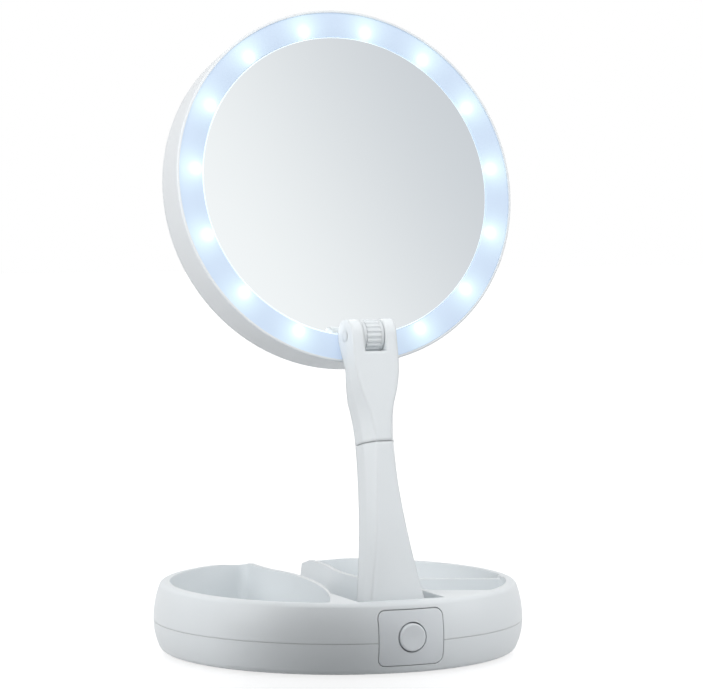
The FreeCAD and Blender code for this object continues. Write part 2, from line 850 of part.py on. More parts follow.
skin = new_body("panel_skin")
draw_skin(new_sketch(skin, "YZ_Plane"), panel_low - 1, panel_high + 0.5, as_size(0), skin_back)
spin(skin, skin.Group[-1], 40, True)
sketch = new_sketch(skin, "XZ_Plane", base_radius - 12)
draw_frame(sketch, panel_half_width - panel_gap, panel_low + panel_gap, panel_high - panel_gap, 30)
cut(skin, sketch, 20, along=True)
soften(
    skin,
    panel_corner - panel_gap,
    lambda e: isinstance(e.Curve, Part.Line) and e.BoundBox.YLength > 1 and e.BoundBox.ZLength < 0.1,
)
flange = new_body("panel_flange")
sketch = new_sketch(flange, "YZ_Plane")
draw_skin(sketch, panel_low - 1.4, panel_high - 1, shell_wall + 0.1, shell_wall + 1.2)
spin(flange, sketch, 40, True)
sketch = new_sketch(flange, "XZ_Plane", base_radius - 14)
draw_frame(sketch, panel_half_width + 1.6, panel_low - 3, panel_high + 3, 30)
cut(flange, sketch, 22, along=True)
plate = join("panel_plate", [skin, flange])
button_height = (panel_low + panel_high) / 2 + 0.2
button_hole = rod("panel_hole", button_radius + button_gap, 20, 0, -base_radius - 5, button_height)
lay(button_hole, "y")
panel = minus("switch_panel", plate, button_hole)

# Push button, drawn with its travel along its own Z and laid to face the user
button = new_body("power_button")
flange_front = base_radius - shell_wall - 2.7
sketch = new_sketch(button, "XZ_Plane")
button_face = base_radius + button_proud
draw_loop(
    sketch,
    (0, button_face - 0.35),
    (0, flange_front - 3.5),
    (1.5, flange_front - 3.5),
    (1.5, flange_front - 0.8),
    (button_radius + 1.3, flange_front - 0.8),
    (button_radius + 1.3, flange_front),
    (button_radius, flange_front),
    (button_radius, button_face - 0.9),
    (button_radius - 0.9, button_face, 0.9, 1),
    (button_radius - 1.5, button_face),
)
spin(button, sketch)
Frame(0, button_height, 270).take(button)

# Control board behind the panel, with the push switch that the button's post enters
board_front = core_front - 1.3
board = join(
    "control_board",
    [
        block(
            "board_plate", board_half * 2, 1.2, board_height,
            -board_half, board_front, button_height - board_height / 2,
        ),
        block("board_chip", 5, 1.1, 6, 6.5, board_front - 1, button_height - 4),
        block("board_coil", 4, 1.6, 4, -11.5, board_front - 1.5, button_height - 6),
    ],
)
switch_body = block("switch_case", 9, 2.8, 9, -4.5, board_front - 2.8, button_height - 4.5)
switch_bore = rod("switch_bore", 1.65, 12, 0, board_front - 8, button_height)
lay(switch_bore, "y")
switch = minus("push_switch", switch_body, switch_bore)

# Cells, their contacts and the lead to the board
cell_height = plate_top + 0.7 + cell_radius
cells = []
contacts = []
for number in range(4):
    cell_x = box_x + cell_pitch * (number - 1.5)
    way = 1 if number % 2 else -1
    can_start = -cell_length / 2 + (0 if way > 0 else 1)
    can = rod(f"cell_can_{number}", cell_radius, cell_length - 1, cell_x, can_start, cell_height)
    nub_start = cell_length / 2 - 1 if way > 0 else -cell_length / 2
    nub = rod(f"cell_nub_{number}", cell_radius * 0.52, 1, cell_x, nub_start, cell_height)
    cells.append(join(f"cell_{number}", [lay(can, "y"), lay(nub, "y")]))
    for end in (1, -1):
        wall_y = box_half_y - 0.5 if end > 0 else -box_half_y
        strip = block(f"strip_{number}_{end}", 8, 0.5, 8, cell_x - 4, wall_y, cell_height - 4)
        stub_y = cell_length / 2 if end > 0 else -box_half_y + 0.5
        stub = rod(f"stub_{number}_{end}", 2.2 if end == way else 3.4, 2.7, cell_x, stub_y, cell_height)
        contacts.append(join(f"contact_{number}_{end}", [strip, lay(stub, "y")]))
cell_set = gather("battery_cells", cells)
contact_set = gather("battery_contacts", contacts)

# Battery door in the bottom plate, with two snap lips and a finger recess
door = new_body("battery_door")
door_half_x = box_half_x - part_gap
door_half_y = box_half_y - part_gap
sketch = new_sketch(door, "XY_Plane", foot_gap)
draw_box(sketch, box_x - door_half_x, box_x + door_half_x, -door_half_y, door_half_y)
pad(door, sketch, deck_thick - 0.6)
soften(door, 1, upright)
for side in (1, -1):
    sketch = new_sketch(door, "XY_Plane", foot_gap + 1)
    low_y = door_half_y - 1.4 if side > 0 else -door_half_y
    draw_box(sketch, box_x - 14, box_x - 6, low_y, low_y + 1.4)
    draw_box(sketch, box_x + 6, box_x + 14, low_y, low_y + 1.4)
    pad(door, sketch, 2.8)
sketch = new_sketch(door, "XY_Plane", foot_gap - 1)
draw_box(sketch, box_x - 8, box_x + 8, door_half_y - 9, door_half_y - 4)
cut(door, sketch, 1.7, along=True)

# Feet and shell screws
feet = gather(
    "rubber_feet",
    [rod(f"foot_{n}", foot_round, foot_gap + 1, x, y, 0) for n, (x, y) in enumerate(foot_places)],
)
screws = []
for number, (x, y) in enumerate(screw_places):
    head = rod(f"screw_head_{number}", head_round, 0.9, x, y, foot_gap + 0.3)
    shank = rod(f"screw_shank_{number}", screw_radius, plate_top + 7 - foot_gap, x, y, foot_gap + 0.8)
    screws.append(join(f"screw_{number}", [head, shank]))
screw_set = gather("base_screws", screws)

# Fold hinge: two brackets on the channel floor, the pin and a friction washer on each side
bracket_near = foot_half + 0.8
brackets = []
for label, side in (("hinge_bracket_left", -1), ("hinge_bracket_right", 1)):
    bracket = new_body(label)
    start = bracket_near if side > 0 else -bracket_near - bracket_thick
    sketch = new_sketch(bracket, "YZ_Plane", start)
    floor_level = -stem_half_depth - channel_clear
    draw_loop(
        sketch,
        (-bracket_round, floor_level),
        (bracket_round, floor_level),
        (bracket_round, 0),
        (0, bracket_round, bracket_round, 1),
        (-bracket_round, 0, bracket_round, 1),
    )
    draw_circle(sketch, 0, 0, fold_pin_radius + seat_fit)
    pad(bracket, sketch, bracket_thick)
    Frame(hinge_back, hinge_height, 360 - fold_slope).take(bracket)
    brackets.append(bracket)
pin_half = bracket_near + bracket_thick
fold_pin = rod("fold_pin", fold_pin_radius, pin_half * 2, -pin_half, hinge_back, hinge_height)
lay(fold_pin, "x")
washers = new_body("fold_washers")
for side in (1, -1):
    sketch = new_sketch(washers, "YZ_Plane", foot_half + 0.1 if side > 0 else -foot_half - 0.7)
    draw_circle(sketch, 0, 0, stem_half_depth - 1.5)
    draw_circle(sketch, 0, 0, fold_pin_radius + seat_fit)
    pad(washers, sketch, 0.6)
stem_frame.take(washers)

# Lower stem: narrow front outline lofted to the wide outline behind it, then straight back
lower_top = waist_along - swivel_gap / 2
side_bow = bow(foot_half - waist_half, lower_top - flare_start)


def draw_lower(sketch, foot, waist, radius):
    """Outline of the lower stem from its foot to the waist."""
    return draw_loop(
        sketch,
        (-foot, -stem_half_depth),
        (foot, -stem_half_depth),
        (foot, flare_start),
        (waist, lower_top, radius, -1),
        (-waist, lower_top),
        (-foot, flare_start, radius, -1),
    )


def facet(body, draw, front_sizes, side_sizes):
    """Front face, slanted facets and the straight part behind them."""
    near_sketch = draw(new_sketch(body, "XZ_Plane", stem_half_depth), *front_sizes)
    far_sketch = draw(new_sketch(body, "XZ_Plane", stem_half_depth - facet_depth), *side_sizes)
    loft = body.newObject("PartDesign::AdditiveLoft", f"{body.Name}_loft")
    loft.Profile = near_sketch
    loft.Sections = [far_sketch]
    loft.Ruled = True
    doc.recompute()
    again = draw(new_sketch(body, "XZ_Plane", stem_half_depth - facet_depth), *side_sizes)
    pad(body, again, stem_half_depth * 2 - facet_depth, back=True)


lower_stem = new_body("lower_stem")
facet(
    lower_stem,
    draw_lower,
    (foot_front_half, waist_front_half, front_bow),
    (foot_half, waist_half, side_bow),
)
sketch = new_sketch(lower_stem, "YZ_Plane")
draw_loop(
    sketch,
    (-stem_half_depth * 2, 0),
    (-stem_half_depth, 0),
    (0, -stem_half_depth, stem_half_depth, 1),
    (stem_half_depth, 0, stem_half_depth, 1),
    (stem_half_depth * 2, 0),
    (stem_half_depth * 2, -stem_half_depth * 2),
    (-stem_half_depth * 2, -stem_half_depth * 2),
)
cut(lower_stem, sketch, foot_half * 4, both=True)
sketch = draw_circle(new_sketch(lower_stem, "YZ_Plane"), 0, 0, fold_pin_radius + run_fit)
cut(lower_stem, sketch, foot_half * 4, both=True)
# Lead duct and the recess of its cover, sunk from the back
clip_low = waist_along - 22
clip_high = waist_along - 15
cover_high = waist_along - 10
duct_low = waist_along * 0.217
from_back = -stem_half_depth - 1
sketch = new_sketch(lower_stem, "XZ_Plane", from_back)
draw_box(sketch, -cover_half, cover_half, cover_low, cover_high)
cut(lower_stem, sketch, cover_thick + 1, along=True)
sketch = new_sketch(lower_stem, "XZ_Plane", from_back)
draw_box(sketch, -duct_half, duct_half, duct_low, clip_low + 1)
cut(lower_stem, sketch, stem_half_depth + duct_half + 1, along=True)
sketch = draw_box(new_sketch(lower_stem, "XZ_Plane", from_back), -clip_room, clip_room, clip_low, clip_high)
cut(lower_stem, sketch, stem_half_depth + 1, along=True)
sketch = draw_circle(new_sketch(lower_stem, "XY_Plane", clip_low), 0, 0, clip_room)
cut(lower_stem, sketch, clip_high - clip_low, along=True)
sketch = draw_circle(new_sketch(lower_stem, "XY_Plane", waist_along + 1), 0, 0, spigot_radius + run_fit)
cut(lower_stem, sketch, waist_along + 2 - clip_high)
sketch = draw_circle(new_sketch(lower_stem, "XY_Plane", waist_along + 1), 0, 0, clip_room)
cut(lower_stem, sketch, swivel_gap / 2 + 1.6)
sketch = draw_circle(new_sketch(lower_stem, "XY_Plane", duct_low + 1), 0, lead_back, 1.5)
cut(lower_stem, sketch, duct_low * 2)
cover_screw_z = cover_low + 5
sketch = new_sketch(lower_stem, "XZ_Plane", from_back)
draw_circle(sketch, cover_half - 2.6, cover_screw_z, 1 + seat_fit)
cut(lower_stem, sketch, 7, along=True)
stem_frame.take(lower_stem)

# Cover plate over the duct and its screw
cover = new_body("lower_stem_cover")
sketch = draw_box(
    new_sketch(cover, "XZ_Plane", -stem_half_depth),
    -cover_half + 0.1,
    cover_half - 0.1,
    cover_low + 0.1,
    cover_high - 0.1,
)
pad(cover, sketch, cover_thick - 0.05)
sketch = draw_circle(new_sketch(cover, "XZ_Plane", from_back), cover_half - 2.6, cover_screw_z, 1.2)
cut(cover, sketch, 6, along=True)
sketch = draw_circle(new_sketch(cover, "XZ_Plane", from_back), cover_half - 2.6, cover_screw_z, 2.1)
cut(cover, sketch, 2, along=True)
stem_frame.take(cover)
cover_screw = new_body("stem_cover_screw")
sketch = new_sketch(cover_screw, "XZ_Plane", 1 - stem_half_depth)
draw_circle(sketch, cover_half - 2.6, cover_screw_z, 2)
pad(cover_screw, sketch, 0.8, back=True)
sketch = new_sketch(cover_screw, "XZ_Plane", 1 - stem_half_depth)
draw_circle(sketch, cover_half - 2.6, cover_screw_z, 1)
pad(cover_screw, sketch, 4)
stem_frame.take(cover_screw)

# Swivel at the waist: hollow spigot fast in the upper stem, clip under the bearing, friction washer
spigot = new_body("swivel_spigot")
spigot_low = clip_high - 2.6
spigot_high = waist_along + 10
groove_low = clip_high - 1.2
sketch = new_sketch(spigot, "XZ_Plane")
draw_loop(
    sketch,
    (spigot_bore, spigot_low),
    (spigot_radius, spigot_low),
    (spigot_radius, groove_low),
    (spigot_radius - 0.6, groove_low),
    (spigot_radius - 0.6, groove_low + 1),
    (spigot_radius, groove_low + 1),
    (spigot_radius, spigot_high),
    (spigot_bore, spigot_high),
)
spin(spigot, sketch)
stem_frame.take(spigot)
clip = new_body("swivel_clip")
sketch = new_sketch(clip, "YZ_Plane")
draw_box(sketch, -clip_room + 0.5, -spigot_radius + 0.6 - seat_fit, groove_low + 0.1, groove_low + 0.9)
spin(clip, sketch, 300, True)
stem_frame.take(clip)
swivel_washer = new_body("swivel_washer")
sketch = new_sketch(swivel_washer, "XY_Plane", waist_along - swivel_gap / 2 - 0.6)
draw_circle(sketch, 0, 0, clip_room - 0.1)
draw_circle(sketch, 0, 0, spigot_radius + 0.3)
pad(swivel_washer, sketch, 0.75)
stem_frame.take(swivel_washer)

# Upper stem: the waist opens in a soft S to the fork
upper_low = waist_along + swivel_gap / 2
fork_top = stem_length + stem_half_depth


def draw_upper(sketch, waist, fork):
    """Outline of the upper stem from the waist to the top of the fork."""
    turn = ess(fork - waist, shoulder)
    middle = (waist + fork) / 2
    return draw_loop(
        sketch,
        (waist, upper_low),
        (middle, upper_low + shoulder / 2, turn, -1),
        (fork, upper_low + shoulder, turn, 1),
        (fork, fork_top),
        (-fork, fork_top),
        (-fork, upper_low + shoulder),
        (-middle, upper_low + shoulder / 2, turn, 1),
        (-waist, upper_low, turn, -1),
    )


upper_stem = new_body("upper_stem")
facet(upper_stem, draw_upper, (waist_front_half, fork_front_half), (waist_half, fork_half))
# Side view: round fork ends, and a hollow in the back that lets the head's lower edge tip in
edge_drop = head_radius - pivot_to_centre
edge_reach = root(face_set_back * face_set_back + edge_drop * edge_drop)
hollow_low = edge_reach + 0.8
tip_y = stem_half_depth * cosine(tilt_back)
tip_z = stem_half_depth * sine(tilt_back)
hollow_y = tip_y - (hollow_low - tip_z) * sine(tilt_back) / cosine(tilt_back)
far_out = stem_half_depth * 2
sketch = new_sketch(upper_stem, "YZ_Plane")
draw_loop(
    sketch,
    (-far_out, stem_length),
    (-stem_half_depth, stem_length),
    (0, fork_top, stem_half_depth, -1),
    (tip_y, stem_length - tip_z, stem_half_depth, -1),
    (hollow_y, stem_length - hollow_low),
    (hollow_y, stem_length - hollow_low - 2),
    (stem_half_depth, stem_length - hollow_low - 16),
    (far_out, stem_length - hollow_low - 16),
    (far_out, fork_top + 5),
    (-far_out, fork_top + 5),
)
cut(upper_stem, sketch, fork_half * 4, both=True)
sketch = new_sketch(upper_stem, "XZ_Plane")
draw_box(sketch, -slot_half, slot_half, stem_length - slot_depth, fork_top + 5)
cut(upper_stem, sketch, far_out * 4, both=True)
sketch = draw_circle(new_sketch(upper_stem, "YZ_Plane"), 0, stem_length, axle_radius + run_fit)
cut(upper_stem, sketch, fork_half * 4, both=True)
sketch = draw_circle(new_sketch(upper_stem, "XY_Plane", upper_low - 1), 0, 0, spigot_radius + seat_fit)
cut(upper_stem, sketch, spigot_high - upper_low + 1, along=True)
duct_top = stem_length - slot_depth - 4
sketch = draw_circle(new_sketch(upper_stem, "XY_Plane", upper_low - 1), 0, 0, 2)
cut(upper_stem, sketch, duct_top - upper_low + 1, along=True)
stem_frame.take(upper_stem)

# Leads inside the stems: one runs in behind the fold pin and up to the swivel, one goes on from there
lower_lead = new_body("lower_stem_lead")
sketch = draw_circle(new_sketch(lower_lead, "XY_Plane", -4), 0, lead_back, lead_radius)
path = new_sketch(lower_lead, "YZ_Plane")
lead_bend = waist_along * 0.304
lead_middle = waist_along * 0.565
stops = [
    (lead_back, as_size(-4)),
    (lead_back, lead_bend),
    (as_size(0), lead_middle),
    (as_size(0), waist_along - 1),
]
legs = []
for (y_from, z_from), (y_to, z_to) in zip(stops, stops[1:]):
    start = FreeCAD.Vector(y_from.value, z_from.value, 0)
    end = FreeCAD.Vector(y_to.value, z_to.value, 0)
    leg = path.addGeometry(Part.LineSegment(start, end))
    if legs:
        path.addConstraint(Sketcher.Constraint("Coincident", legs[-1], 2, leg, 1))
    else:
        hold(path, "DistanceX", (-1, 1, leg, 1), y_from)
        hold(path, "DistanceY", (-1, 1, leg, 1), z_from)
    hold(path, "DistanceX", (-1, 1, leg, 2), y_to)
    hold(path, "DistanceY", (-1, 1, leg, 2), z_to)
    legs.append(leg)
sweep = lower_lead.newObject("PartDesign::AdditivePipe", "lower_stem_lead_sweep")
sweep.Profile = sketch
sweep.Spine = (path, [])
sweep.Transition = "Round corner"
doc.recompute()
stem_frame.take(lower_lead)
upper_lead = new_body("upper_stem_lead")
sketch = draw_circle(new_sketch(upper_lead, "XY_Plane", waist_along + 0.4), 0, 0, lead_radius)
pad(upper_lead, sketch, duct_top - waist_along - 1)
stem_frame.take(upper_lead)

# Tilt axle across the fork
axle_half = fork_half - 0.6
axle = rod("tilt_axle", axle_radius, axle_half * 2, -axle_half, pivot_back, pivot_height)
lay(axle, "x")

# Head: everything round the head's own axis is drawn as radius against depth behind the face
carrier_outer = ring_inner + 1.1
web_back = web_front + web_thick
back_radius = head_radius - 0.6
inner_radius = head_radius - head_wall
rear_seam = head_depth - 3
rib_outer = back_mirror_radius + 0.2
back_mirror_bow = bow(back_mirror_hollow, back_mirror_radius)
back_edge = rear_seam - 0.1 - glass
rib_inner = rib_outer - 2
rib_drop = (back_mirror_radius * back_mirror_radius - rib_inner * rib_inner) / (back_mirror_bow * 2)
rib_top = back_edge - rib_drop - 0.05
housing = new_body("head_housing")
sketch = new_sketch(housing, "XZ_Plane")
draw_loop(
    sketch,
    (ring_outer + 0.2, 0),
    (head_radius - 0.5, 0),
    (head_radius, 0.5, 0.5, 1),
    (back_radius, rear_seam),
    (inner_radius, rear_seam),
    (inner_radius, web_back),
    (rib_outer, web_back),
    (rib_outer, rib_top),
    (rib_inner, rib_top),
    (rib_inner, web_back),
    (0, web_back),
    (0, web_front),
    (inner_radius, web_front),
    (inner_radius, ring_thick + 0.2),
    (ring_outer + 0.2, ring_thick + 0.2),
)
spin(housing, sketch)
arm_top = pivot_to_centre - carrier_outer - part_gap
screw_drop = pivot_to_centre + (arm_low - arm_top) / 2
sketch = new_sketch(housing, "XY_Plane", web_front - 1)
draw_circle(sketch, screw_side, screw_drop, 1.4)
draw_circle(sketch, -screw_side, screw_drop, 1.4)
cut(housing, sketch, web_thick + 2, along=True)
head_frame.take(housing)

# Light ring: a shallow dome of frosted plastic, with a hole for the yoke at its lowest place
ring = new_body("light_ring")
half_band = (ring_outer - ring_inner) / 2
sketch = new_sketch(ring, "XZ_Plane")
draw_loop(
    sketch,
    (ring_inner, ring_thick + 0.2),
    (ring_inner, ring_edge),
    ((ring_inner + ring_outer) / 2, 0.05, bow(ring_edge - 0.05, half_band), 1),
    (ring_outer, ring_edge, bow(ring_edge - 0.05, half_band), 1),
    (ring_outer, ring_thick + 0.2),
)
spin(ring, sketch)
ear_half = slot_half - part_gap
sketch = new_sketch(ring, "XY_Plane", -1)
draw_box(
    sketch,
    -ear_half - 0.4,
    ear_half + 0.4,
    pivot_to_centre - arm_top - 0.35,
    pivot_to_centre + arm_low + 0.4,
)
cut(ring, sketch, ring_thick + 3, along=True)
head_frame.take(ring)

# Mirror glass and the carrier that holds it off the web
mirror = new_body("mirror_glass")
mirror_back = mirror_set_back + mirror_thick
sketch = new_sketch(mirror, "XZ_Plane")
draw_loop(
    sketch,
    (0, mirror_set_back),
    (mirror_radius - 0.6, mirror_set_back),
    (mirror_radius, mirror_set_back + 0.6),
    (mirror_radius, mirror_back),
    (0, mirror_back),
)
spin(mirror, sketch)
head_frame.take(mirror)
carrier = new_body("mirror_carrier")
carrier_inner = mirror_radius + 0.1
sketch = new_sketch(carrier, "XZ_Plane")
draw_loop(
    sketch,
    (0, mirror_back),
    (carrier_inner, mirror_back),
    (carrier_inner, ring_thick + 0.2),
    (carrier_outer, ring_thick + 0.2),
    (carrier_outer, web_front),
    (carrier_inner, web_front),
    (carrier_inner, mirror_back + 1.8),
    (0, mirror_back + 1.8),
)
spin(carrier, sketch)
head_frame.take(carrier)

# Light board, open at the bottom for the yoke, and its light chips
light_board = new_body("light_board")
sketch = new_sketch(light_board, "YZ_Plane")
draw_box(sketch, -inner_radius + 0.6, -carrier_outer - 0.6, web_front - 1.2, web_front)
spin(light_board, sketch, 334, True)
head_frame.take(light_board)
chips = new_body("light_chips")
sketch = new_sketch(chips, "XY_Plane", web_front - 1.2)
draw_box(
    sketch,
    -light_size / 2,
    light_size / 2,
    light_circle - light_size / 2,
    light_circle + light_size / 2,
)
sketch.AttachmentOffset = FreeCAD.Placement(
    FreeCAD.Vector(0, 0, web_front.value - 1.2),
    FreeCAD.Rotation(FreeCAD.Vector(0, 0, 1), light_pitch.value),
)
sketch.setExpression("AttachmentOffset.Rotation.Angle", f"{light_pitch.text} * 1 deg")
chip = pad(chips, sketch, 1.6, back=True)
ring_pattern(chips, chip, light_count, light_pitch * (light_count - 1))
head_frame.take(chips)

# Back ring and the hollow magnifying mirror that it holds
back_ring = new_body("head_back_ring")
ring_start = rear_seam + 0.25
skirt_inner = inner_radius - 2
sketch = new_sketch(back_ring, "XZ_Plane")
draw_loop(
    sketch,
    (back_radius, ring_start),
    (back_radius, head_depth - back_round),
    (back_radius - back_round, head_depth, back_round, 1),
    (back_mirror_radius - 0.8, head_depth),
    (back_mirror_radius - 2.4, head_depth - 1.2),
    (back_mirror_radius - 2.4, ring_start),
    (skirt_inner, ring_start),
    (skirt_inner, ring_start - 4),
    (inner_radius - 0.1, ring_start - 4),
    (inner_radius - 0.1, ring_start),
)
spin(back_ring, sketch)
head_frame.take(back_ring)
back_mirror = new_body("magnifying_mirror")
sketch = new_sketch(back_mirror, "XZ_Plane")
draw_loop(
    sketch,
    (0, back_edge - back_mirror_hollow),
    (back_mirror_radius, back_edge, back_mirror_bow, 1),
    (back_mirror_radius, back_edge + glass),
    (0, back_edge + glass - back_mirror_hollow, back_mirror_bow, -1),
)
spin(back_mirror, sketch)
head_frame.take(back_mirror)

# Yoke: two round cheeks beside the wheel on the axle, and the arm through the light ring to the web
yoke = new_body("mirror_yoke")
sketch = draw_circle(new_sketch(yoke, "YZ_Plane"), 0, 0, wheel_radius - 0.5)
pad(yoke, sketch, ear_half * 2, both=True)
arm_end = face_set_back + web_front
sketch = draw_box(new_sketch(yoke, "YZ_Plane"), 0, arm_end, -arm_low, arm_top)
pad(yoke, sketch, ear_half * 2, both=True)
sketch = new_sketch(yoke, "XZ_Plane", -arm_end)
draw_box(sketch, -screw_side - 3, screw_side + 3, -arm_low - 0.6, arm_top)
pad(yoke, sketch, 2)
sketch = draw_circle(new_sketch(yoke, "YZ_Plane"), 0, 0, wheel_radius + 0.35)
cut(yoke, sketch, wheel_half * 2 + 0.2, both=True)
sketch = draw_circle(new_sketch(yoke, "YZ_Plane"), 0, 0, axle_radius + run_fit)
cut(yoke, sketch, slot_half * 4, both=True)
sketch = new_sketch(yoke, "XZ_Plane", -arm_end - 1)
draw_circle(sketch, screw_side, (arm_top - arm_low) / 2, 1.2 + seat_fit)
draw_circle(sketch, -screw_side, (arm_top - arm_low) / 2, 1.2 + seat_fit)
cut(yoke, sketch, 6, along=True)
pivot_frame.take(yoke)
yoke_screws = new_body("yoke_screws")
for side in (1, -1):
    sketch = draw_circle(new_sketch(yoke_screws, "XY_Plane", web_back), screw_side * side, screw_drop, 2.4)
    pad(yoke_screws, sketch, 1.3)
    sketch = new_sketch(yoke_screws, "XY_Plane", web_back + 0.5)
    draw_circle(sketch, screw_side * side, screw_drop, 1.2)
    pad(yoke_screws, sketch, web_thick + 2.2, back=True)
head_frame.take(yoke_screws)

# Ridged thumb wheel between the cheeks, fast on the axle
wheel = new_body("tilt_wheel")
sketch = draw_circle(new_sketch(wheel, "YZ_Plane"), 0, 0, wheel_radius)
draw_circle(sketch, 0, 0, axle_radius + seat_fit)
pad(wheel, sketch, wheel_half * 2, both=True)
sketch = draw_circle(new_sketch(wheel, "YZ_Plane"), 0, wheel_radius + 0.25, 0.85)
groove = cut(wheel, sketch, wheel_half * 4, both=True)
ring_pattern(wheel, groove, ridges, 360, "X_Axis")
pivot_frame.take(wheel)

pieces = [
    lower, upper, panel, button, board, switch, cell_set, contact_set, door, feet, screw_set,
    brackets[0], brackets[1], fold_pin, washers,
    lower_stem, cover, cover_screw, lower_lead, swivel_washer,
    upper_stem, spigot, clip, upper_lead,
    axle, wheel,
    housing, ring, mirror, carrier, light_board, chips, back_ring, back_mirror, yoke, yoke_screws,
]
doc.recompute()
for item in doc.Objects:
    if "Invalid" in item.State or "Error" in item.State:
        raise ValueError(f"{item.Name} failed: {item.State}")
for piece in pieces:
    if piece.Shape.isNull() or not piece.Shape.isValid() or piece.Shape.Volume <= 0:
        raise ValueError(f"{piece.Label} has no sound shape")
os.makedirs("parts", exist_ok=True)
for piece in pieces:
    piece.Shape.exportStep(os.path.join("parts", f"{piece.Label}.step"))
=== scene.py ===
# %% [markdown]
# # A folding makeup mirror with a ring of lights
#
# The part itself was made in a CAD program and packed: every piece of it is loaded here as a fixed
# frame, in metres, with Z up and the user's side at -Y. This script gives those pieces their looks.
# Pieces that a few flat triangles can't show well, such as the glowing ring and the glass, are made
# again as smooth surfaces, in the very place where the CAD piece is.

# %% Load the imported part
import math

import bmesh
import bpy
import numpy as np
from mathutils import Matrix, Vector


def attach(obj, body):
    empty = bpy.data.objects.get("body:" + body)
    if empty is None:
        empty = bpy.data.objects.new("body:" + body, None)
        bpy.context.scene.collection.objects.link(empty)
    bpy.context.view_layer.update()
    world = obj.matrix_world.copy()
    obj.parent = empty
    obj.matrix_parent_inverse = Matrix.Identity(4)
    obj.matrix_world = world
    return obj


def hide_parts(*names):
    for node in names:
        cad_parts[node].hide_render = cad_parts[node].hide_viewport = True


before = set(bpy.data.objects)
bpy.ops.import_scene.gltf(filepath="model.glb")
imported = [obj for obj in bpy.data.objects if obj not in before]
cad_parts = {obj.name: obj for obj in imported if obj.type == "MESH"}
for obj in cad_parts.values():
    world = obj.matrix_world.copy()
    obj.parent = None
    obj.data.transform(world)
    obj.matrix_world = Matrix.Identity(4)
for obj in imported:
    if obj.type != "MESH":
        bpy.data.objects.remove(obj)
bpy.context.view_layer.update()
print("CAD pieces:", len(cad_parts))

# %% [markdown]
# ## Small helpers
#
# Colours are easiest to pick as sRGB hex values, the way a paint program shows them. Blender's
# shaders work with linear light, so one function does the change. A second small function adds a
# node to a material: it sets the node's options and sockets, and links what it is given.

# %% Colours and nodes
MM = 0.001
WHITE = (1, 1, 1, 1)


def linear(code):
    """sRGB hex to linear RGBA: c / 12.92 below 0.04045, else ((c + 0.055) / 1.055) ** 2.4."""
    c = np.array([int(code[i:i + 2], 16) for i in (1, 3, 5)]) / 255
    c = np.where(c <= 0.04045, c / 12.92, ((c + 0.055) / 1.055) ** 2.4)
    return (*c.tolist(), 1.0)


def add(tree, kind, options=None, **sockets):
    """Add a node of a kind; options are its properties, sockets its inputs.

    A socket's value may be a number, a colour, or another node's output, which is then linked.
    In a socket's name, _ stands for a space, and a number after n picks an input by its place.
    """
    made = tree.nodes.new(kind)
    for name, value in (options or {}).items():
        setattr(made, name, value)
    for name, value in sockets.items():
        place = int(name[1:]) if name[0] == "n" and name[1:].isdigit() else name.replace("_", " ")
        if isinstance(value, bpy.types.NodeSocket):
            tree.links.new(value, made.inputs[place])
        else:
            made.inputs[place].default_value = value
    return made


def new_material(name):
    """An empty node material and its tree. Surfaces that glow are wide and dim, so none is a lamp."""
    material = bpy.data.materials.new(name)
    material.use_nodes = True
    material.cycles.emission_sampling = "NONE"
    material.node_tree.nodes.clear()
    return material, material.node_tree


def close_material(tree, shader):
    """Wire a shader to the material's output."""
    add(tree, "ShaderNodeOutputMaterial", Surface=shader)


print("half grey in linear light:", round(linear("#808080")[0], 3))

# %% [markdown]
# ## White moulded ABS
#
# The shells, the stem and the head are ABS: injection moulded, cool white, with a satin gloss. Up
# close such a moulding isn't perfectly even. Its surface has a faint orange-peel ripple a few
# millimetres long, a fine grain from the tool's polish, and the gloss varies a little where the
# plastic cooled at different speeds. Each of these is a noise pattern with a real size.

# %% Moulded plastic
NOISE_LOW, NOISE_HIGH = 0.3, 0.7  # most of a noise lies between these values
CLOUD_MM, CLOUD_DARK, CLOUD_PALE = 55, 0.975, 1.02
GLOSS_LEAST, GLOSS_MOST = 0.93, 1.08
GRAIN_STRENGTH, GRAIN_DEPTH_MM = 0.10, 0.02
RIPPLE_STRENGTH, RIPPLE_DEPTH_MM = 0.12, 0.05
ABS_IOR, SCATTER_SHARE, SCATTER_MM = 1.53, 0.25, 1.5


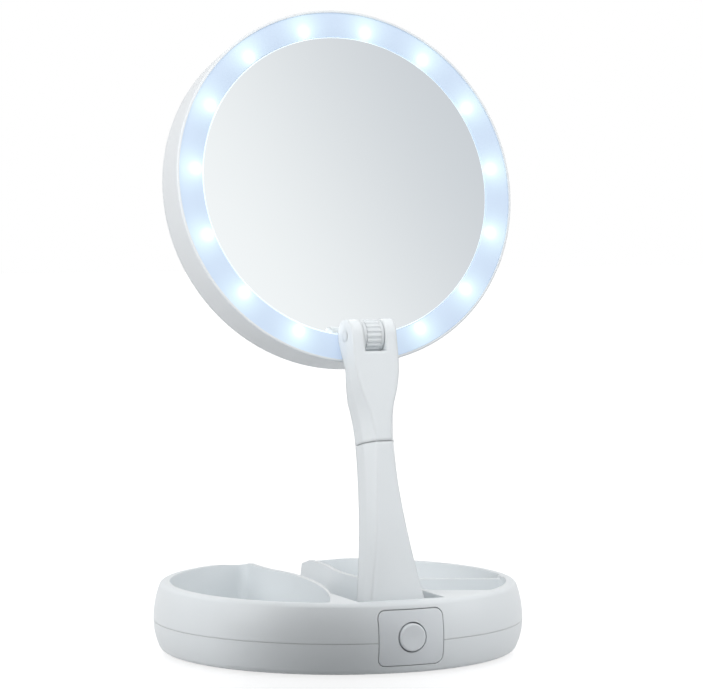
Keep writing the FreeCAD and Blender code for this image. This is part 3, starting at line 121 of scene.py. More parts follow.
def moulded_plastic(name, colour, roughness, ripple_mm=6.0, grain_mm=0.5, edge_mm=0.6):
    """Satin moulded plastic: colour and gloss vary by noise, two noises give the relief.

    The bevel node rounds the look of each hard edge, as a mould never gives a knife edge. A piece
    with an edge_mm or a grain_mm of 0 does without that node or that noise. The plastic is a little
    see-through: light goes in, scatters a millimetre or two and comes out, which softens deep corners.
    """
    material, tree = new_material(name)
    where = add(tree, "ShaderNodeTexCoord").outputs["Object"]
    cloud = add(tree, "ShaderNodeTexNoise", Vector=where, Scale=1 / (CLOUD_MM * MM), Detail=3.0)
    shade = np.array(linear(colour)[:3])
    tint = add(
        tree, "ShaderNodeMix", {"data_type": "RGBA"}, Factor=cloud.outputs["Fac"],
        n6=(*(shade * CLOUD_DARK).tolist(), 1), n7=(*np.minimum(shade * CLOUD_PALE, 1).tolist(), 1),
    )
    gloss = add(
        tree, "ShaderNodeMapRange", Value=cloud.outputs["Fac"], n1=NOISE_LOW, n2=NOISE_HIGH,
        n3=roughness * GLOSS_LEAST, n4=roughness * GLOSS_MOST,
    )
    normal = {}
    if edge_mm:
        edge = add(tree, "ShaderNodeBevel", {"samples": 6}, Radius=edge_mm * MM)
        normal = {"Normal": edge.outputs[0]}
    grain = (grain_mm, GRAIN_STRENGTH, GRAIN_DEPTH_MM)
    ripple = (ripple_mm, RIPPLE_STRENGTH, RIPPLE_DEPTH_MM)
    for size_mm, strength, depth_mm in (grain, ripple):
        if size_mm:
            noise = add(tree, "ShaderNodeTexNoise", Vector=where, Scale=1 / (size_mm * MM), Detail=2.0)
            relief = add(
                tree, "ShaderNodeBump", Strength=strength, Distance=depth_mm * MM,
                Height=noise.outputs["Fac"], **normal,
            )
            normal = {"Normal": relief.outputs["Normal"]}
    shader = add(
        tree, "ShaderNodeBsdfPrincipled", Base_Color=tint.outputs[2], Roughness=gloss.outputs[0],
        IOR=ABS_IOR, Subsurface_Weight=SCATTER_SHARE, Subsurface_Radius=(1.0, 1.0, 1.0),
        Subsurface_Scale=SCATTER_MM * MM, **normal,
    )
    close_material(tree, shader.outputs[0])
    return material


print("shade changes over", CLOUD_MM, "mm, light scatters over", SCATTER_MM, "mm")

# %% The plastics
SATIN, MATT = 0.38, 0.6
# The base's shells: an even cool white with wide, soft highlights
white_abs = moulded_plastic("white_ABS_satin", "#E6EAEC", SATIN)
# The head: one large drum, seen along its wall, so that only a long ripple is left on it
head_abs = moulded_plastic("head_ABS_satin", "#E6E9EB", SATIN, 9.0, 0, 0)
# The stem: its facets run into each other over wide, soft edges
stem_abs = moulded_plastic("stem_ABS_soft_edged", "#E8ECEE", SATIN, edge_mm=2.4)
# The switch panel and its button: pieces of their own, a shade apart from the shell
panel_abs = moulded_plastic("panel_ABS_satin", "#E2E6E9", SATIN)
button_abs = moulded_plastic("button_ABS_satin", "#E6EAED", SATIN)
# Hinge pieces: the stem's white, painted a shade darker for the stem's shade they mostly sit in
hinge_abs_painted_shade = moulded_plastic("hinge_ABS_painted_shade", "#E2E6E8", SATIN)
# The mirror's carrier: never seen in use, so left as matt as it comes from the tool
carrier_abs = moulded_plastic("carrier_ABS_matt", "#DADCDD", MATT)
# The thumb wheel: cast zinc under white paint, with small round highlights on its ridges
wheel_paint = moulded_plastic("white_paint_on_zinc", "#E2E6E8", SATIN, 3.0, 0.3, 0.2)
print("plastics:", [m.name for m in bpy.data.materials if "ABS" in m.name])

# %% [markdown]
# ## Metals, rubber, boards and the hidden pieces
#
# Most of these sit inside or underneath, but a reusable part is looked at from every side and taken
# apart, so each gets a real finish. Brushed or ground steel shows fine lines along one direction:
# noise stretched along that axis does it. Rubber, nylon, lacquer and resin are matt or silky, with a
# fine grain that also moves their colour a little.

# %% Lined metal
LINE_STRENGTH, LINE_DEPTH_MM = 0.15, 0.01
LINE_GLOSS_LEAST, LINE_GLOSS_MOST = 0.75, 1.3


def lined_metal(name, colour, roughness, line_mm, stretch):
    """Metal with fine lines: noise whose coordinates are squeezed along the lines' direction."""
    material, tree = new_material(name)
    where = add(tree, "ShaderNodeTexCoord").outputs["Object"]
    squeezed = add(tree, "ShaderNodeMapping", Vector=where, Scale=stretch)
    lines = add(
        tree, "ShaderNodeTexNoise", Vector=squeezed.outputs[0], Scale=1 / (line_mm * MM), Detail=3.0,
    )
    gloss = add(
        tree, "ShaderNodeMapRange", Value=lines.outputs["Fac"], n1=NOISE_LOW, n2=NOISE_HIGH,
        n3=roughness * LINE_GLOSS_LEAST, n4=roughness * LINE_GLOSS_MOST,
    )
    relief = add(
        tree, "ShaderNodeBump", Strength=LINE_STRENGTH, Distance=LINE_DEPTH_MM * MM,
        Height=lines.outputs["Fac"],
    )
    shader = add(
        tree, "ShaderNodeBsdfPrincipled", Base_Color=linear(colour), Metallic=1.0,
        Roughness=gloss.outputs[0], Normal=relief.outputs["Normal"],
    )
    close_material(tree, shader.outputs[0])
    return material


# Zinc plate: bluish and half bright, with lines round the screw's shank
screw_steel = lined_metal("zinc_plated_steel", "#B9BCBE", 0.35, 0.5, (1, 1, 4))
# Ground pins: brighter, with lines along their length
pin_steel = lined_metal("ground_steel_pin", "#C4C5C6", 0.25, 0.4, (0.1, 1, 1))
# Nickel plate: a warmer white metal, rolled in one direction
contact_steel = lined_metal("nickel_plated_contact", "#CFCDC8", 0.3, 0.6, (1, 4, 1))
print("metals:", [m.name for m in (screw_steel, pin_steel, contact_steel)])

# %% Rubber, nylon, boards and resin
SPECK_STRENGTH = 0.4


def grainy(name, dark, pale, roughness, grain_mm, depth_mm):
    """Matt material: colour between two shades by noise, with relief from the same noise."""
    material, tree = new_material(name)
    where = add(tree, "ShaderNodeTexCoord").outputs["Object"]
    grain = add(tree, "ShaderNodeTexNoise", Vector=where, Scale=1 / (grain_mm * MM), Detail=4.0)
    tint = add(
        tree, "ShaderNodeMix", {"data_type": "RGBA"}, Factor=grain.outputs["Fac"],
        n6=linear(dark), n7=linear(pale),
    )
    relief = add(
        tree, "ShaderNodeBump", Strength=SPECK_STRENGTH, Distance=depth_mm * MM,
        Height=grain.outputs["Fac"],
    )
    shader = add(
        tree, "ShaderNodeBsdfPrincipled", Base_Color=tint.outputs[2], Roughness=roughness,
        Normal=relief.outputs["Normal"],
    )
    close_material(tree, shader.outputs[0])
    return material


# Feet: moulded rubber, dull and dark grey
foot_rubber = grainy("grey_rubber", "#5C5F61", "#6E7173", 0.8, 0.6, 0.05)
# Washers: undyed nylon, waxy and a little yellow
washer_nylon = grainy("natural_nylon", "#D9D6CA", "#E4E1D6", 0.5, 1.2, 0.02)
# Leads: red insulation with a silky skin
lead_cover = grainy("red_PVC_insulation", "#8E1B1B", "#A62322", 0.45, 2.0, 0.02)
# Boards: lacquer over glass cloth, white under the lights and green in the base
white_board = grainy("white_solder_mask", "#E3E4DF", "#EEEFEA", 0.35, 0.8, 0.01)
green_board = grainy("green_solder_mask", "#0E4A29", "#176238", 0.35, 0.9, 0.01)
# Switch: black nylon, fine grained
switch_black = grainy("black_nylon_moulding", "#16171A", "#222427", 0.45, 0.5, 0.02)
# Cells: a smooth plastic sleeve shrunk tight
cell_sleeve = grainy("grey_shrink_sleeve", "#5A5E63", "#676B70", 0.3, 4.0, 0.02)
# Light chips: glossy cast resin, slightly yellow from what turns blue light white
chip_resin = grainy("light_chip_resin", "#F4F3DD", "#FFFDEB", 0.2, 0.7, 0.01)
print("materials so far:", len(bpy.data.materials))

# %% [markdown]
# ## Silvered glass
#
# A mirror is a smooth metal film behind clear glass. At this size the glass's own thickness hardly
# shows, so the face is a polished metal with a faint cool tint. Real glass is never quite free of
# haze: a very weak, wide noise changes the roughness by a hair, as cleaning leaves it.

# %% Mirror material
WIPE_MM, WIPE_LOW, WIPE_HIGH = 30, 0.35, 0.65


def silvered(name, colour, haze):
    """Polished silver: metallic 1, roughness near zero and varied by a wide noise."""
    material, tree = new_material(name)
    where = add(tree, "ShaderNodeTexCoord").outputs["Object"]
    wipe = add(tree, "ShaderNodeTexNoise", Vector=where, Scale=1 / (WIPE_MM * MM), Detail=2.0)
    gloss = add(
        tree, "ShaderNodeMapRange", Value=wipe.outputs["Fac"], n1=WIPE_LOW, n2=WIPE_HIGH,
        n3=haze * 0.5, n4=haze,
    )
    shader = add(
        tree, "ShaderNodeBsdfPrincipled", Base_Color=linear(colour), Metallic=1.0,
        Roughness=gloss.outputs[0],
    )
    close_material(tree, shader.outputs[0])
    return material


silver = silvered("silvered_glass", "#F8FAFA", 0.03)
print("mirror material:", silver.name)

# %% [markdown]
# ## Surfaces of revolution
#
# Everything round on the head is one profile turned about the head's axis: a table of radius against
# depth behind the face, swept through a full turn. With numpy the whole grid of points is one
# outer product, and the faces are one index array, so there is no loop over vertices.

# %% The head's axis
HEAD_LEAN = math.radians(12.5)
PIVOT = np.array([0.0, -37.4409, 155.0985])  # middle of the tilt axle, in mm
PIVOT_TO_CENTRE, FACE_SET_BACK = 75.3, 9.0
head_up = np.array([0.0, math.sin(HEAD_LEAN), math.cos(HEAD_LEAN)])
head_back = np.array([0.0, math.cos(HEAD_LEAN), -math.sin(HEAD_LEAN)])
head_right = np.array([1.0, 0.0, 0.0])
face_centre = PIVOT + PIVOT_TO_CENTRE * head_up + FACE_SET_BACK * head_back


def head_point(radius, angle, depth):
    """Point of the head: centre + radius (sin a * right - cos a * up) + depth * back, in metres.

    The angle runs from the lowest place of the head, anticlockwise as the user sees it.
    """
    radius, angle, depth = np.broadcast_arrays(radius, angle, depth)
    ring = np.sin(angle)[..., None] * head_right - np.cos(angle)[..., None] * head_up
    return (face_centre + radius[..., None] * ring + depth[..., None] * head_back) * MM


print("middle of the face in mm:", face_centre.round(2))

# %% A mesh from a grid of points


def grid_mesh(name, points, close_rows=False, keep=None, walls=None):
    """Mesh of a grid of points, each quad from (i, j), (i+1, j), (i+1, j+1), (i, j+1).

    The columns close to a ring. keep says which quads to make, and walls adds quads by their
    points' numbers in the grid.
    """
    rows, columns = points.shape[:2]
    i = np.arange(rows if close_rows else rows - 1)
    i, j = np.meshgrid(i, np.arange(columns), indexing="ij")
    if keep is not None:
        i, j = i[keep], j[keep]
    below, beside = (i + 1) % rows, (j + 1) % columns
    quads = np.stack([
        i * columns + j, below * columns + j, below * columns + beside, i * columns + beside,
    ], -1).reshape(-1, 4)
    if walls is not None:
        quads = np.concatenate([quads, walls])
    mesh = bpy.data.meshes.new(name)
    mesh.from_pydata(points.reshape(-1, 3).tolist(), [], quads.tolist())
    mesh.validate()
    mesh.polygons.foreach_set("use_smooth", np.ones(len(mesh.polygons), bool))
    return mesh


def show(mesh, body, material, slot, *nodes):
    """Link a mesh as a piece that rides on a body and stands for CAD nodes."""
    piece = bpy.data.objects.new(mesh.name, mesh)
    bpy.context.scene.collection.objects.link(piece)
    mesh.materials.append(material)
    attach(piece, body)
    if nodes:
        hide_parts(*nodes)
    return piece


# %% [markdown]
# ## Closing a turned surface
#
# Where a profile starts on the axis, its first ring of points falls together in one spot. Merging
# those doubles closes the pole. Recalculating the normals afterwards makes every face point outward,
# whichever way round the profile was written.

# %% Close poles, point faces outward
TURN_STEPS = 288
SHARP_FROM = math.radians(35)


def tidy_surface(mesh):
    """Merge points nearer than a ten-thousandth of a millimetre, turn faces outward, mark sharp edges."""
    work = bmesh.new()
    work.from_mesh(mesh)
    bmesh.ops.remove_doubles(work, verts=work.verts, dist=1e-4 * MM)
    bmesh.ops.recalc_face_normals(work, faces=work.faces)
    work.to_mesh(mesh)
    work.free()
    mesh.set_sharp_from_angle(angle=SHARP_FROM)
    return mesh


def turned_head(name, profile, steps=TURN_STEPS):
    """Turn a closed profile (rows of radius, depth in mm) about the head's axis."""
    profile = np.array(profile, float)
    angle = np.linspace(0, 2 * np.pi, steps, endpoint=False)
    points = head_point(profile[:, :1], angle[None, :], profile[:, 1:])
    return tidy_surface(grid_mesh(name, points, close_rows=profile[0, 0] > 0))


print("steps in a full turn:", TURN_STEPS)

# %% [markdown]
# ## The head's shell
#
# The shell is a short drum that tapers to the back, with a thin lip round the light ring, a web
# across its middle and a low rib that carries the mirror behind. The camera looks along its wall at
# a very small angle, where a coarse mesh shows every facet, so it is turned in 720 fine steps. The
# lip's outer edge is rounded by a quarter circle: centre + radius * (cos, sin) of an angle.

# %% Shell of the head
SHELL_RADIUS, SHELL_BACK, SHELL_SEAM, SHELL_INSIDE = 86.8, 86.2, 22.0, 84.4
LIP_INSIDE, LIP_BACK, LIP_ROUND = 85.6, 2.4, 0.8
WEB_FRONT, WEB_BACK, RIB_OUT, RIB_IN, RIB_TOP = 10.2, 12.2, 72.6, 70.6, 19.2
SHELL_STEPS, LIP_ROWS, WALL_ROWS = 720, 9, 24
turn = np.radians(np.linspace(90, 0, LIP_ROWS))
lip_edge = np.stack([
    SHELL_RADIUS - LIP_ROUND + LIP_ROUND * np.cos(turn), LIP_ROUND - LIP_ROUND * np.sin(turn),
], -1)
wall_depth = np.linspace(LIP_ROUND, SHELL_SEAM, WALL_ROWS)[1:]
wall_taper = (wall_depth - LIP_ROUND) / (SHELL_SEAM - LIP_ROUND)
wall_radius = SHELL_RADIUS + (SHELL_BACK - SHELL_RADIUS) * wall_taper
shell_profile = np.concatenate([
    [(0, WEB_FRONT), (SHELL_INSIDE, WEB_FRONT), (SHELL_INSIDE, LIP_BACK), (LIP_INSIDE, LIP_BACK)],
    [(LIP_INSIDE, 0)], lip_edge, np.stack([wall_radius, wall_depth], -1),
    [(SHELL_INSIDE, SHELL_SEAM), (SHELL_INSIDE, WEB_BACK), (RIB_OUT, WEB_BACK), (RIB_OUT, RIB_TOP)],
    [(RIB_IN, RIB_TOP), (RIB_IN, WEB_BACK), (0, WEB_BACK)],
])
head_shell = show(
    turned_head("head_shell", shell_profile, SHELL_STEPS),
    "head", head_abs, "white_plastic", "head_housing",
)
print("head shell:", len(head_shell.data.polygons), "faces")

# %% [markdown]
# ## The flat mirror
#
# A disc of 3 mm glass with a ground bevel at its edge. The bevel has no silver behind it. It takes in
# light from the ring beside it and shows as a fine white line round the mirror, so it is modelled,
# 0.45 mm wide at 45 degrees, as matt ground glass with a painted glow that stands in for that light.

# %% Ground glass with a painted glow
GRIT_MM, GRIT_LEAST, GRIT_MOST, GLASS_IOR = 0.4, 0.45, 0.65, 1.52


def ground_glass(name, colour, strength):
    """Matt glass: a rough grey-white surface, speckled by noise, whose emission is a painted glow for
    led-in light.
    """
    material, tree = new_material(name)
    where = add(tree, "ShaderNodeTexCoord").outputs["Object"]
    grit = add(tree, "ShaderNodeTexNoise", Vector=where, Scale=1 / (GRIT_MM * MM), Detail=1.0)
    rough = add(
        tree, "ShaderNodeMapRange", Value=grit.outputs["Fac"], n1=NOISE_LOW, n2=NOISE_HIGH,
        n3=GRIT_LEAST, n4=GRIT_MOST,
    )
    shader = add(
        tree, "ShaderNodeBsdfPrincipled", Base_Color=linear(colour), Roughness=rough.outputs[0],
        IOR=GLASS_IOR, Emission_Color=linear(colour), Emission_Strength=strength,
    )
    close_material(tree, shader.outputs[0])
    return material


# The bevel's emission is painted light: a glow standing in for the ring's light carried into the glass
edge_painted_glow = ground_glass("ground_glass_edge_painted_glow", "#EEF4F8", 0.4)
print("edge material:", edge_painted_glow.name)

# %% Mirror glass
GLASS_RADIUS, GLASS_FACE, GLASS_BACK, GLASS_BEVEL = 73.55, 1.2, 4.2, 0.45
glass_profile = [
    (0, GLASS_FACE), (GLASS_RADIUS - GLASS_BEVEL, GLASS_FACE),
    (GLASS_RADIUS, GLASS_FACE + GLASS_BEVEL), (GLASS_RADIUS, GLASS_BACK), (0, GLASS_BACK),
]
glass_disc = show(
    turned_head("mirror_disc", glass_profile), "head", silver, "silvered_glass", "mirror_glass",
)
glass_disc.data.materials.append(edge_painted_glow)
glass_faces = glass_disc.data.polygons
middles = np.empty(3 * len(glass_faces))
glass_faces.foreach_get("center", middles)
from_axis = np.linalg.norm(np.cross(middles.reshape(-1, 3) / MM - face_centre, head_back), axis=1)
on_edge = from_axis > GLASS_RADIUS - GLASS_BEVEL
glass_faces.foreach_set("material_index", on_edge.astype(np.int32))
print("mirror disc:", len(glass_faces), "faces,", int(on_edge.sum()), "on the edge")

# %% [markdown]
# ## The hollow mirror on the back
#
# The other side of the head holds a magnifying mirror. A concave mirror is a shallow bowl, part of a
# sphere: 4.6 mm deep over a radius of 72.4 mm. The depth of a sphere of radius R at distance r from
# the axis is R - sqrt(R * R - r * r). Forty rings of points keep its reflections free of facets.

# %% Magnifying mirror
BOWL_RADIUS, BOWL_DEPTH, BOWL_EDGE, BOWL_GLASS, BOWL_ROWS = 72.4, 4.6, 21.9, 2.4, 40
sphere = (BOWL_RADIUS ** 2 + BOWL_DEPTH ** 2) / (2 * BOWL_DEPTH)
bowl_r = np.linspace(0, BOWL_RADIUS, BOWL_ROWS)
bowl_rise = sphere - np.sqrt(sphere ** 2 - bowl_r ** 2)
bowl_back = np.stack([bowl_r, BOWL_EDGE - BOWL_DEPTH + bowl_rise], -1)
bowl_front = (bowl_back - [0, BOWL_GLASS])[::-1]
bowl = show(
    turned_head("magnifying_disc", np.concatenate([bowl_back, bowl_front])),
    "head", silver, "silvered_glass", "magnifying_mirror",
)
print("hollow mirror: sphere of radius", round(sphere), "mm, focus at", round(sphere / 2), "mm")

# %% [markdown]
# ## The light ring
#
# A ring of frosted plastic covers fourteen light chips. Where a chip sits close behind, the plastic
# glows almost white; between the chips it is a pale, cool blue. This glow belongs to the place on the
# ring, so it is stored on the mesh as an attribute: for each point, the sum over all lights of a bell
# curve of its distance. The material then reads the attribute and turns it into emitted light.

# %% Glow of the lights
LIGHTS, LIGHT_PITCH = 14, 24.0
CORE_CIRCLE, CORE_WIDTH, CORE_WEIGHT = 76.6, 3.9, 0.55
SKIRT_CIRCLE, SKIRT_WIDTH, SKIRT_WEIGHT = 79.4, 8.6, 0.62
light_angle = np.radians(LIGHT_PITCH * np.arange(1, LIGHTS + 1))


def glow_at(radius, angle):
    """Sum over the lights of a small bright core near the mirror and a wide skirt round it.

    Each is a bell curve, weight * exp(-(distance / width) ** 2), with its own circle of centres.
    """
    point = (radius * np.exp(1j * angle))[..., None]
    core = np.abs(point - CORE_CIRCLE * np.exp(1j * light_angle)) / CORE_WIDTH
    skirt = np.abs(point - SKIRT_CIRCLE * np.exp(1j * light_angle)) / SKIRT_WIDTH
    return (CORE_WEIGHT * np.exp(-core ** 2) + SKIRT_WEIGHT * np.exp(-skirt ** 2)).sum(-1)


print("lights:", LIGHTS, "at every", LIGHT_PITCH, "degrees")

# %% [markdown]
# The ring's face is a shallow dome across its width. In section it is an arc of a circle of radius R:
# at a distance x from the middle of the band it lies R - sqrt(R * R - x * x) deeper. The grid goes over
# the front from the inside out and back along the rear. At the bottom the yoke that holds the head
# reaches through a slot, so the steps of the turn are set to meet the slot's ends.

# %% Points of the ring
RING_IN, RING_OUT, RING_EDGE, RING_BACK, RING_CROWN = 73.9, 85.4, 0.6, 2.4, 0.05
SLOT_HALF, SLOT_LOW, SLOT_HIGH = 5.6, 74.95, 81.4
RING_ROWS, SLOT_STEPS, REST_STEPS = 24, 16, 703
ring_r = np.unique(np.concatenate([np.linspace(RING_IN, RING_OUT, RING_ROWS), [SLOT_LOW, SLOT_HIGH]]))
half_band = (RING_OUT - RING_IN) / 2
dome = RING_EDGE - RING_CROWN
dome_sphere = (half_band ** 2 + dome ** 2) / (2 * dome)
off_middle = ring_r - (RING_IN + RING_OUT) / 2
ring_front = RING_CROWN + dome_sphere - np.sqrt(dome_sphere ** 2 - off_middle ** 2)
slot_turn = math.asin(SLOT_HALF / SKIRT_CIRCLE)
ring_turn = np.concatenate([
    np.linspace(-slot_turn, slot_turn, SLOT_STEPS + 1),
    np.linspace(slot_turn, 2 * np.pi - slot_turn, REST_STEPS + 1)[1:-1],
])
rows, columns = len(ring_r), len(ring_turn)
both_r = np.concatenate([ring_r, ring_r[::-1]])
both_depth = np.concatenate([ring_front, np.full(rows, RING_BACK)])
ring_points = head_point(both_r[:, None], ring_turn[None, :], both_depth[:, None])
print("ring grid:", ring_points.shape[:2])

# %% Slot for the yoke
low_row, high_row = np.searchsorted(ring_r, [SLOT_LOW, SLOT_HIGH])
row_number, column_number = np.meshgrid(np.arange(2 * rows), np.arange(columns), indexing="ij")
front_row = np.where(row_number < rows, row_number, 2 * rows - 2 - row_number)
in_slot = (front_row >= low_row) & (front_row < high_row) & (column_number < SLOT_STEPS)
along_slot, across_slot = np.arange(SLOT_STEPS), np.arange(low_row, high_row)
edge_row = np.concatenate([
    np.full(SLOT_STEPS, low_row), across_slot, np.full(SLOT_STEPS, high_row), across_slot[::-1] + 1,
])
edge_column = np.concatenate([
    along_slot, np.full(len(across_slot), SLOT_STEPS),
    SLOT_STEPS - along_slot, np.zeros(len(across_slot), int),
])
front_edge = edge_row * columns + edge_column
back_edge = (2 * rows - 1 - edge_row) * columns + edge_column
slot_walls = np.stack([front_edge, np.roll(front_edge, -1), np.roll(back_edge, -1), back_edge], -1)
print("slot:", int(in_slot.sum()), "quads left out,", len(slot_walls), "in its walls")

# %% Mesh of the ring
ring_mesh = grid_mesh("frosted_ring", ring_points, close_rows=True, keep=~in_slot, walls=slot_walls)
ring_glow = glow_at(both_r[:, None], ring_turn[None, :]).reshape(-1)
glow_layer = ring_mesh.attributes.new("glow", "FLOAT", "POINT")
glow_layer.data.foreach_set("value", ring_glow.astype(np.float32))
print("ring:", len(ring_mesh.polygons), "faces")
print("glow from", ring_glow.min().round(2), "to", ring_glow.max().round(2))

# %% [markdown]
# Frosted plastic scatters the light behind it, so its own face looks even and matt. The emission runs
# from the cool blue between the lights to nearly white over them; the plain shader under it keeps the
# ring a real surface that also takes the light of the room.

# %% Frosted plastic, lit from behind
FROST_MM, FROST_STRENGTH, FROST_DEPTH_MM = 0.7, 0.2, 0.02
FROST_ROUGHNESS, FROST_IOR, SKIRT_LEVEL = 0.5, 1.5, 0.6


def frosted(name, plain, between, skirt, over, strength):
    """Matt plastic that emits: the glow attribute runs through three emitted colours."""
    material, tree = new_material(name)
    where = add(tree, "ShaderNodeTexCoord").outputs["Object"]
    frost = add(tree, "ShaderNodeTexNoise", Vector=where, Scale=1 / (FROST_MM * MM), Detail=2.0)
    glow = add(tree, "ShaderNodeAttribute", {"attribute_name": "glow"})
    lit = add(tree, "ShaderNodeValToRGB", Fac=glow.outputs["Fac"])
    lit.color_ramp.elements[0].color = linear(between)
    lit.color_ramp.elements[1].color = linear(over)
    lit.color_ramp.elements.new(SKIRT_LEVEL).color = linear(skirt)
    relief = add(
        tree, "ShaderNodeBump", Strength=FROST_STRENGTH, Distance=FROST_DEPTH_MM * MM,
        Height=frost.outputs["Fac"],
    )
    shader = add(
        tree, "ShaderNodeBsdfPrincipled", Base_Color=linear(plain), Roughness=FROST_ROUGHNESS,
        IOR=FROST_IOR, Normal=relief.outputs["Normal"], Emission_Color=lit.outputs["Color"],
        Emission_Strength=strength,
    )
    close_material(tree, shader.outputs[0])
    return material


frosted_lit = frosted("frosted_plastic_lit", "#8A929C", "#AEC0D6", "#D0E8F1", "#FCFFFF", 0.86)
light_ring = show(tidy_surface(ring_mesh), "head", frosted_lit, "frosted_plastic", "light_ring")
print("ring material:", frosted_lit.name)

# %% [markdown]
# ## Plugs over the axle's ends
#
# The tilt axle ends a little inside the fork. A white plug fills each end of its bore. Its flange is as
# thin as paper and lies flat on the side of the fork, so the bore hardly shows. It is turned about the
# axle, and its plastic does without the soft edge, which would draw a ring round it.

# %% Axle plugs
FLANGE_RADIUS, FLANGE_TOP_RADIUS, FLANGE_TOP, FLANGE_UNDER = 3.0, 2.9, 12.23, 12.21
SHANK_RADIUS, SHANK_END, PLUG_STEPS = 2.0, 11.66, 48
# The stem's white without its soft edges, so that the plug runs into the fork
cap_abs = moulded_plastic("cap_ABS_satin", "#E8ECEE", SATIN, edge_mm=0)


def plug(name, side):
    """Turn a plug's profile (radius, distance out from the middle) about the axle, to one side."""
    profile = np.array([
        (0, FLANGE_TOP), (FLANGE_TOP_RADIUS, FLANGE_TOP), (FLANGE_RADIUS, FLANGE_UNDER),
        (SHANK_RADIUS, FLANGE_UNDER), (SHANK_RADIUS, SHANK_END), (0, SHANK_END),
    ])
    angle = np.linspace(0, 2 * np.pi, PLUG_STEPS, endpoint=False)
    out = np.broadcast_to(side * profile[:, 1:], (len(profile), PLUG_STEPS))
    ring = profile[:, :1, None] * np.stack([np.cos(angle), np.sin(angle)], -1)[None]
    points = (PIVOT + np.concatenate([out[..., None], ring], -1)) * MM
    return show(tidy_surface(grid_mesh(name, points)), "upper_stem", cap_abs, "white_plastic")


plugs = [plug("axle_plug_left", -1), plug("axle_plug_right", 1)]
print("plugs:", [p.name for p in plugs])

# %% [markdown]
# ## Finishes for the CAD pieces
#
# The shells, the stem and all the small pieces keep their CAD shape: their surfaces came with exact
# normals, so they are already smooth. What they need is a finish, put in their material slots.

# %% Dress the CAD pieces
FINISH = {
    white_abs: "base_lower_shell base_upper_shell battery_door",
    head_abs: "head_back_ring",
    stem_abs: "lower_stem upper_stem lower_stem_cover",
    panel_abs: "switch_panel",
    button_abs: "power_button",
    hinge_abs_painted_shade: "mirror_yoke hinge_bracket_left hinge_bracket_right",
    wheel_paint: "tilt_wheel",
    carrier_abs: "mirror_carrier",
    white_board: "light_board",
    chip_resin: "light_chips",
    green_board: "control_board",
    switch_black: "push_switch",
    cell_sleeve: "battery_cells",
    contact_steel: "battery_contacts swivel_clip",
    foot_rubber: "rubber_feet",
    screw_steel: "base_screws stem_cover_screw yoke_screws",
    pin_steel: "fold_pin tilt_axle swivel_spigot",
    washer_nylon: "fold_washers swivel_washer",
    lead_cover: "lower_stem_lead upper_stem_lead",
}
for finish, names in FINISH.items():
    for name in names.split():
        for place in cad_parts[name].material_slots:
            place.material = finish
dressed = {name for names in FINISH.values() for name in names.split()}
print("left to new pieces:", sorted(set(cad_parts) - dressed))

# %% [markdown]
# ## Camera
#
# The photograph was taken from a little to the left and slightly above, from about one and a half
# metres away. The same view is a place, a point to look at, and a lens that gives the same framing.

# %% Camera at the photograph's view
VIEW_SIDE, VIEW_RISE, VIEW_REACH = math.radians(22.84), math.radians(3.05), 1.45921
AIM_RIGHT, AIM_HEIGHT = 0.00661, 0.14913
PHOTO_WIDTH, FOCAL_PIXELS, SENSOR_MM = 703, 3000, 36
aim = Vector((AIM_RIGHT * math.cos(VIEW_SIDE), -AIM_RIGHT * math.sin(VIEW_SIDE), AIM_HEIGHT))
level = VIEW_REACH * math.cos(VIEW_RISE)
eye = aim + Vector((
    -level * math.sin(VIEW_SIDE), -level * math.cos(VIEW_SIDE), VIEW_REACH * math.sin(VIEW_RISE),
))
camera_data = bpy.data.cameras.new("photo_camera")
camera_data.sensor_fit = "HORIZONTAL"
camera_data.sensor_width = SENSOR_MM
camera_data.lens = SENSOR_MM * FOCAL_PIXELS / PHOTO_WIDTH
camera_data.clip_end = 20
camera = bpy.data.objects.new("photo_camera", camera_data)
camera.location = eye
camera.rotation_euler = (aim - eye).to_track_quat("-Z", "Y").to_euler()
bpy.context.scene.collection.objects.link(camera)
bpy.context.scene.camera = camera
print("camera at", [round(v, 3) for v in eye], "lens", round(camera_data.lens, 1))

# %% [markdown]
# ## Light and background
#
# The object stands in soft studio light: an even white surround that is a little brighter from above,
# and four large soft lamps. The camera, mirrors and other smooth surfaces see the plain white surround;
# everything matt is lit by it at a lower, plain level, so that colours render about as written.

# %% World
SKY_LOW, SKY_HIGH = -0.1, 1.0
LEVEL_LOW, LEVEL_HIGH = 0.45, 0.56


def seen_ray(tree):
    """1 for a ray that is seen, from the camera, off gloss or through glass; 0 for one that lights."""
    path = add(tree, "ShaderNodeLightPath").outputs
    larger = {"operation": "MAXIMUM"}
    seen = add(tree, "ShaderNodeMath", larger, n0=path["Is Camera Ray"], n1=path["Is Glossy Ray"])
    seen = add(tree, "ShaderNodeMath", larger, n0=seen.outputs[0], n1=path["Is Transmission Ray"])
    return seen.outputs[0]


world = bpy.data.worlds.new("white_studio")
bpy.context.scene.world = world
world.use_nodes = True
tree = world.node_tree
tree.nodes.clear()
toward = add(tree, "ShaderNodeTexCoord").outputs["Generated"]
height = add(tree, "ShaderNodeSeparateXYZ", Vector=toward)
level_of = add(
    tree, "ShaderNodeMapRange", Value=height.outputs["Z"], n1=SKY_LOW, n2=SKY_HIGH,
    n3=LEVEL_LOW, n4=LEVEL_HIGH,
)
soft = add(tree, "ShaderNodeBackground", Color=linear("#FBFDFF"), Strength=level_of.outputs[0])
plain = add(tree, "ShaderNodeBackground", Color=WHITE, Strength=1.0)
both = add(tree, "ShaderNodeMixShader", n0=seen_ray(tree), n1=soft.outputs[0], n2=plain.outputs[0])
add(tree, "ShaderNodeOutputWorld", Surface=both.outputs[0])
print("world:", world.name)

# %% Lamps


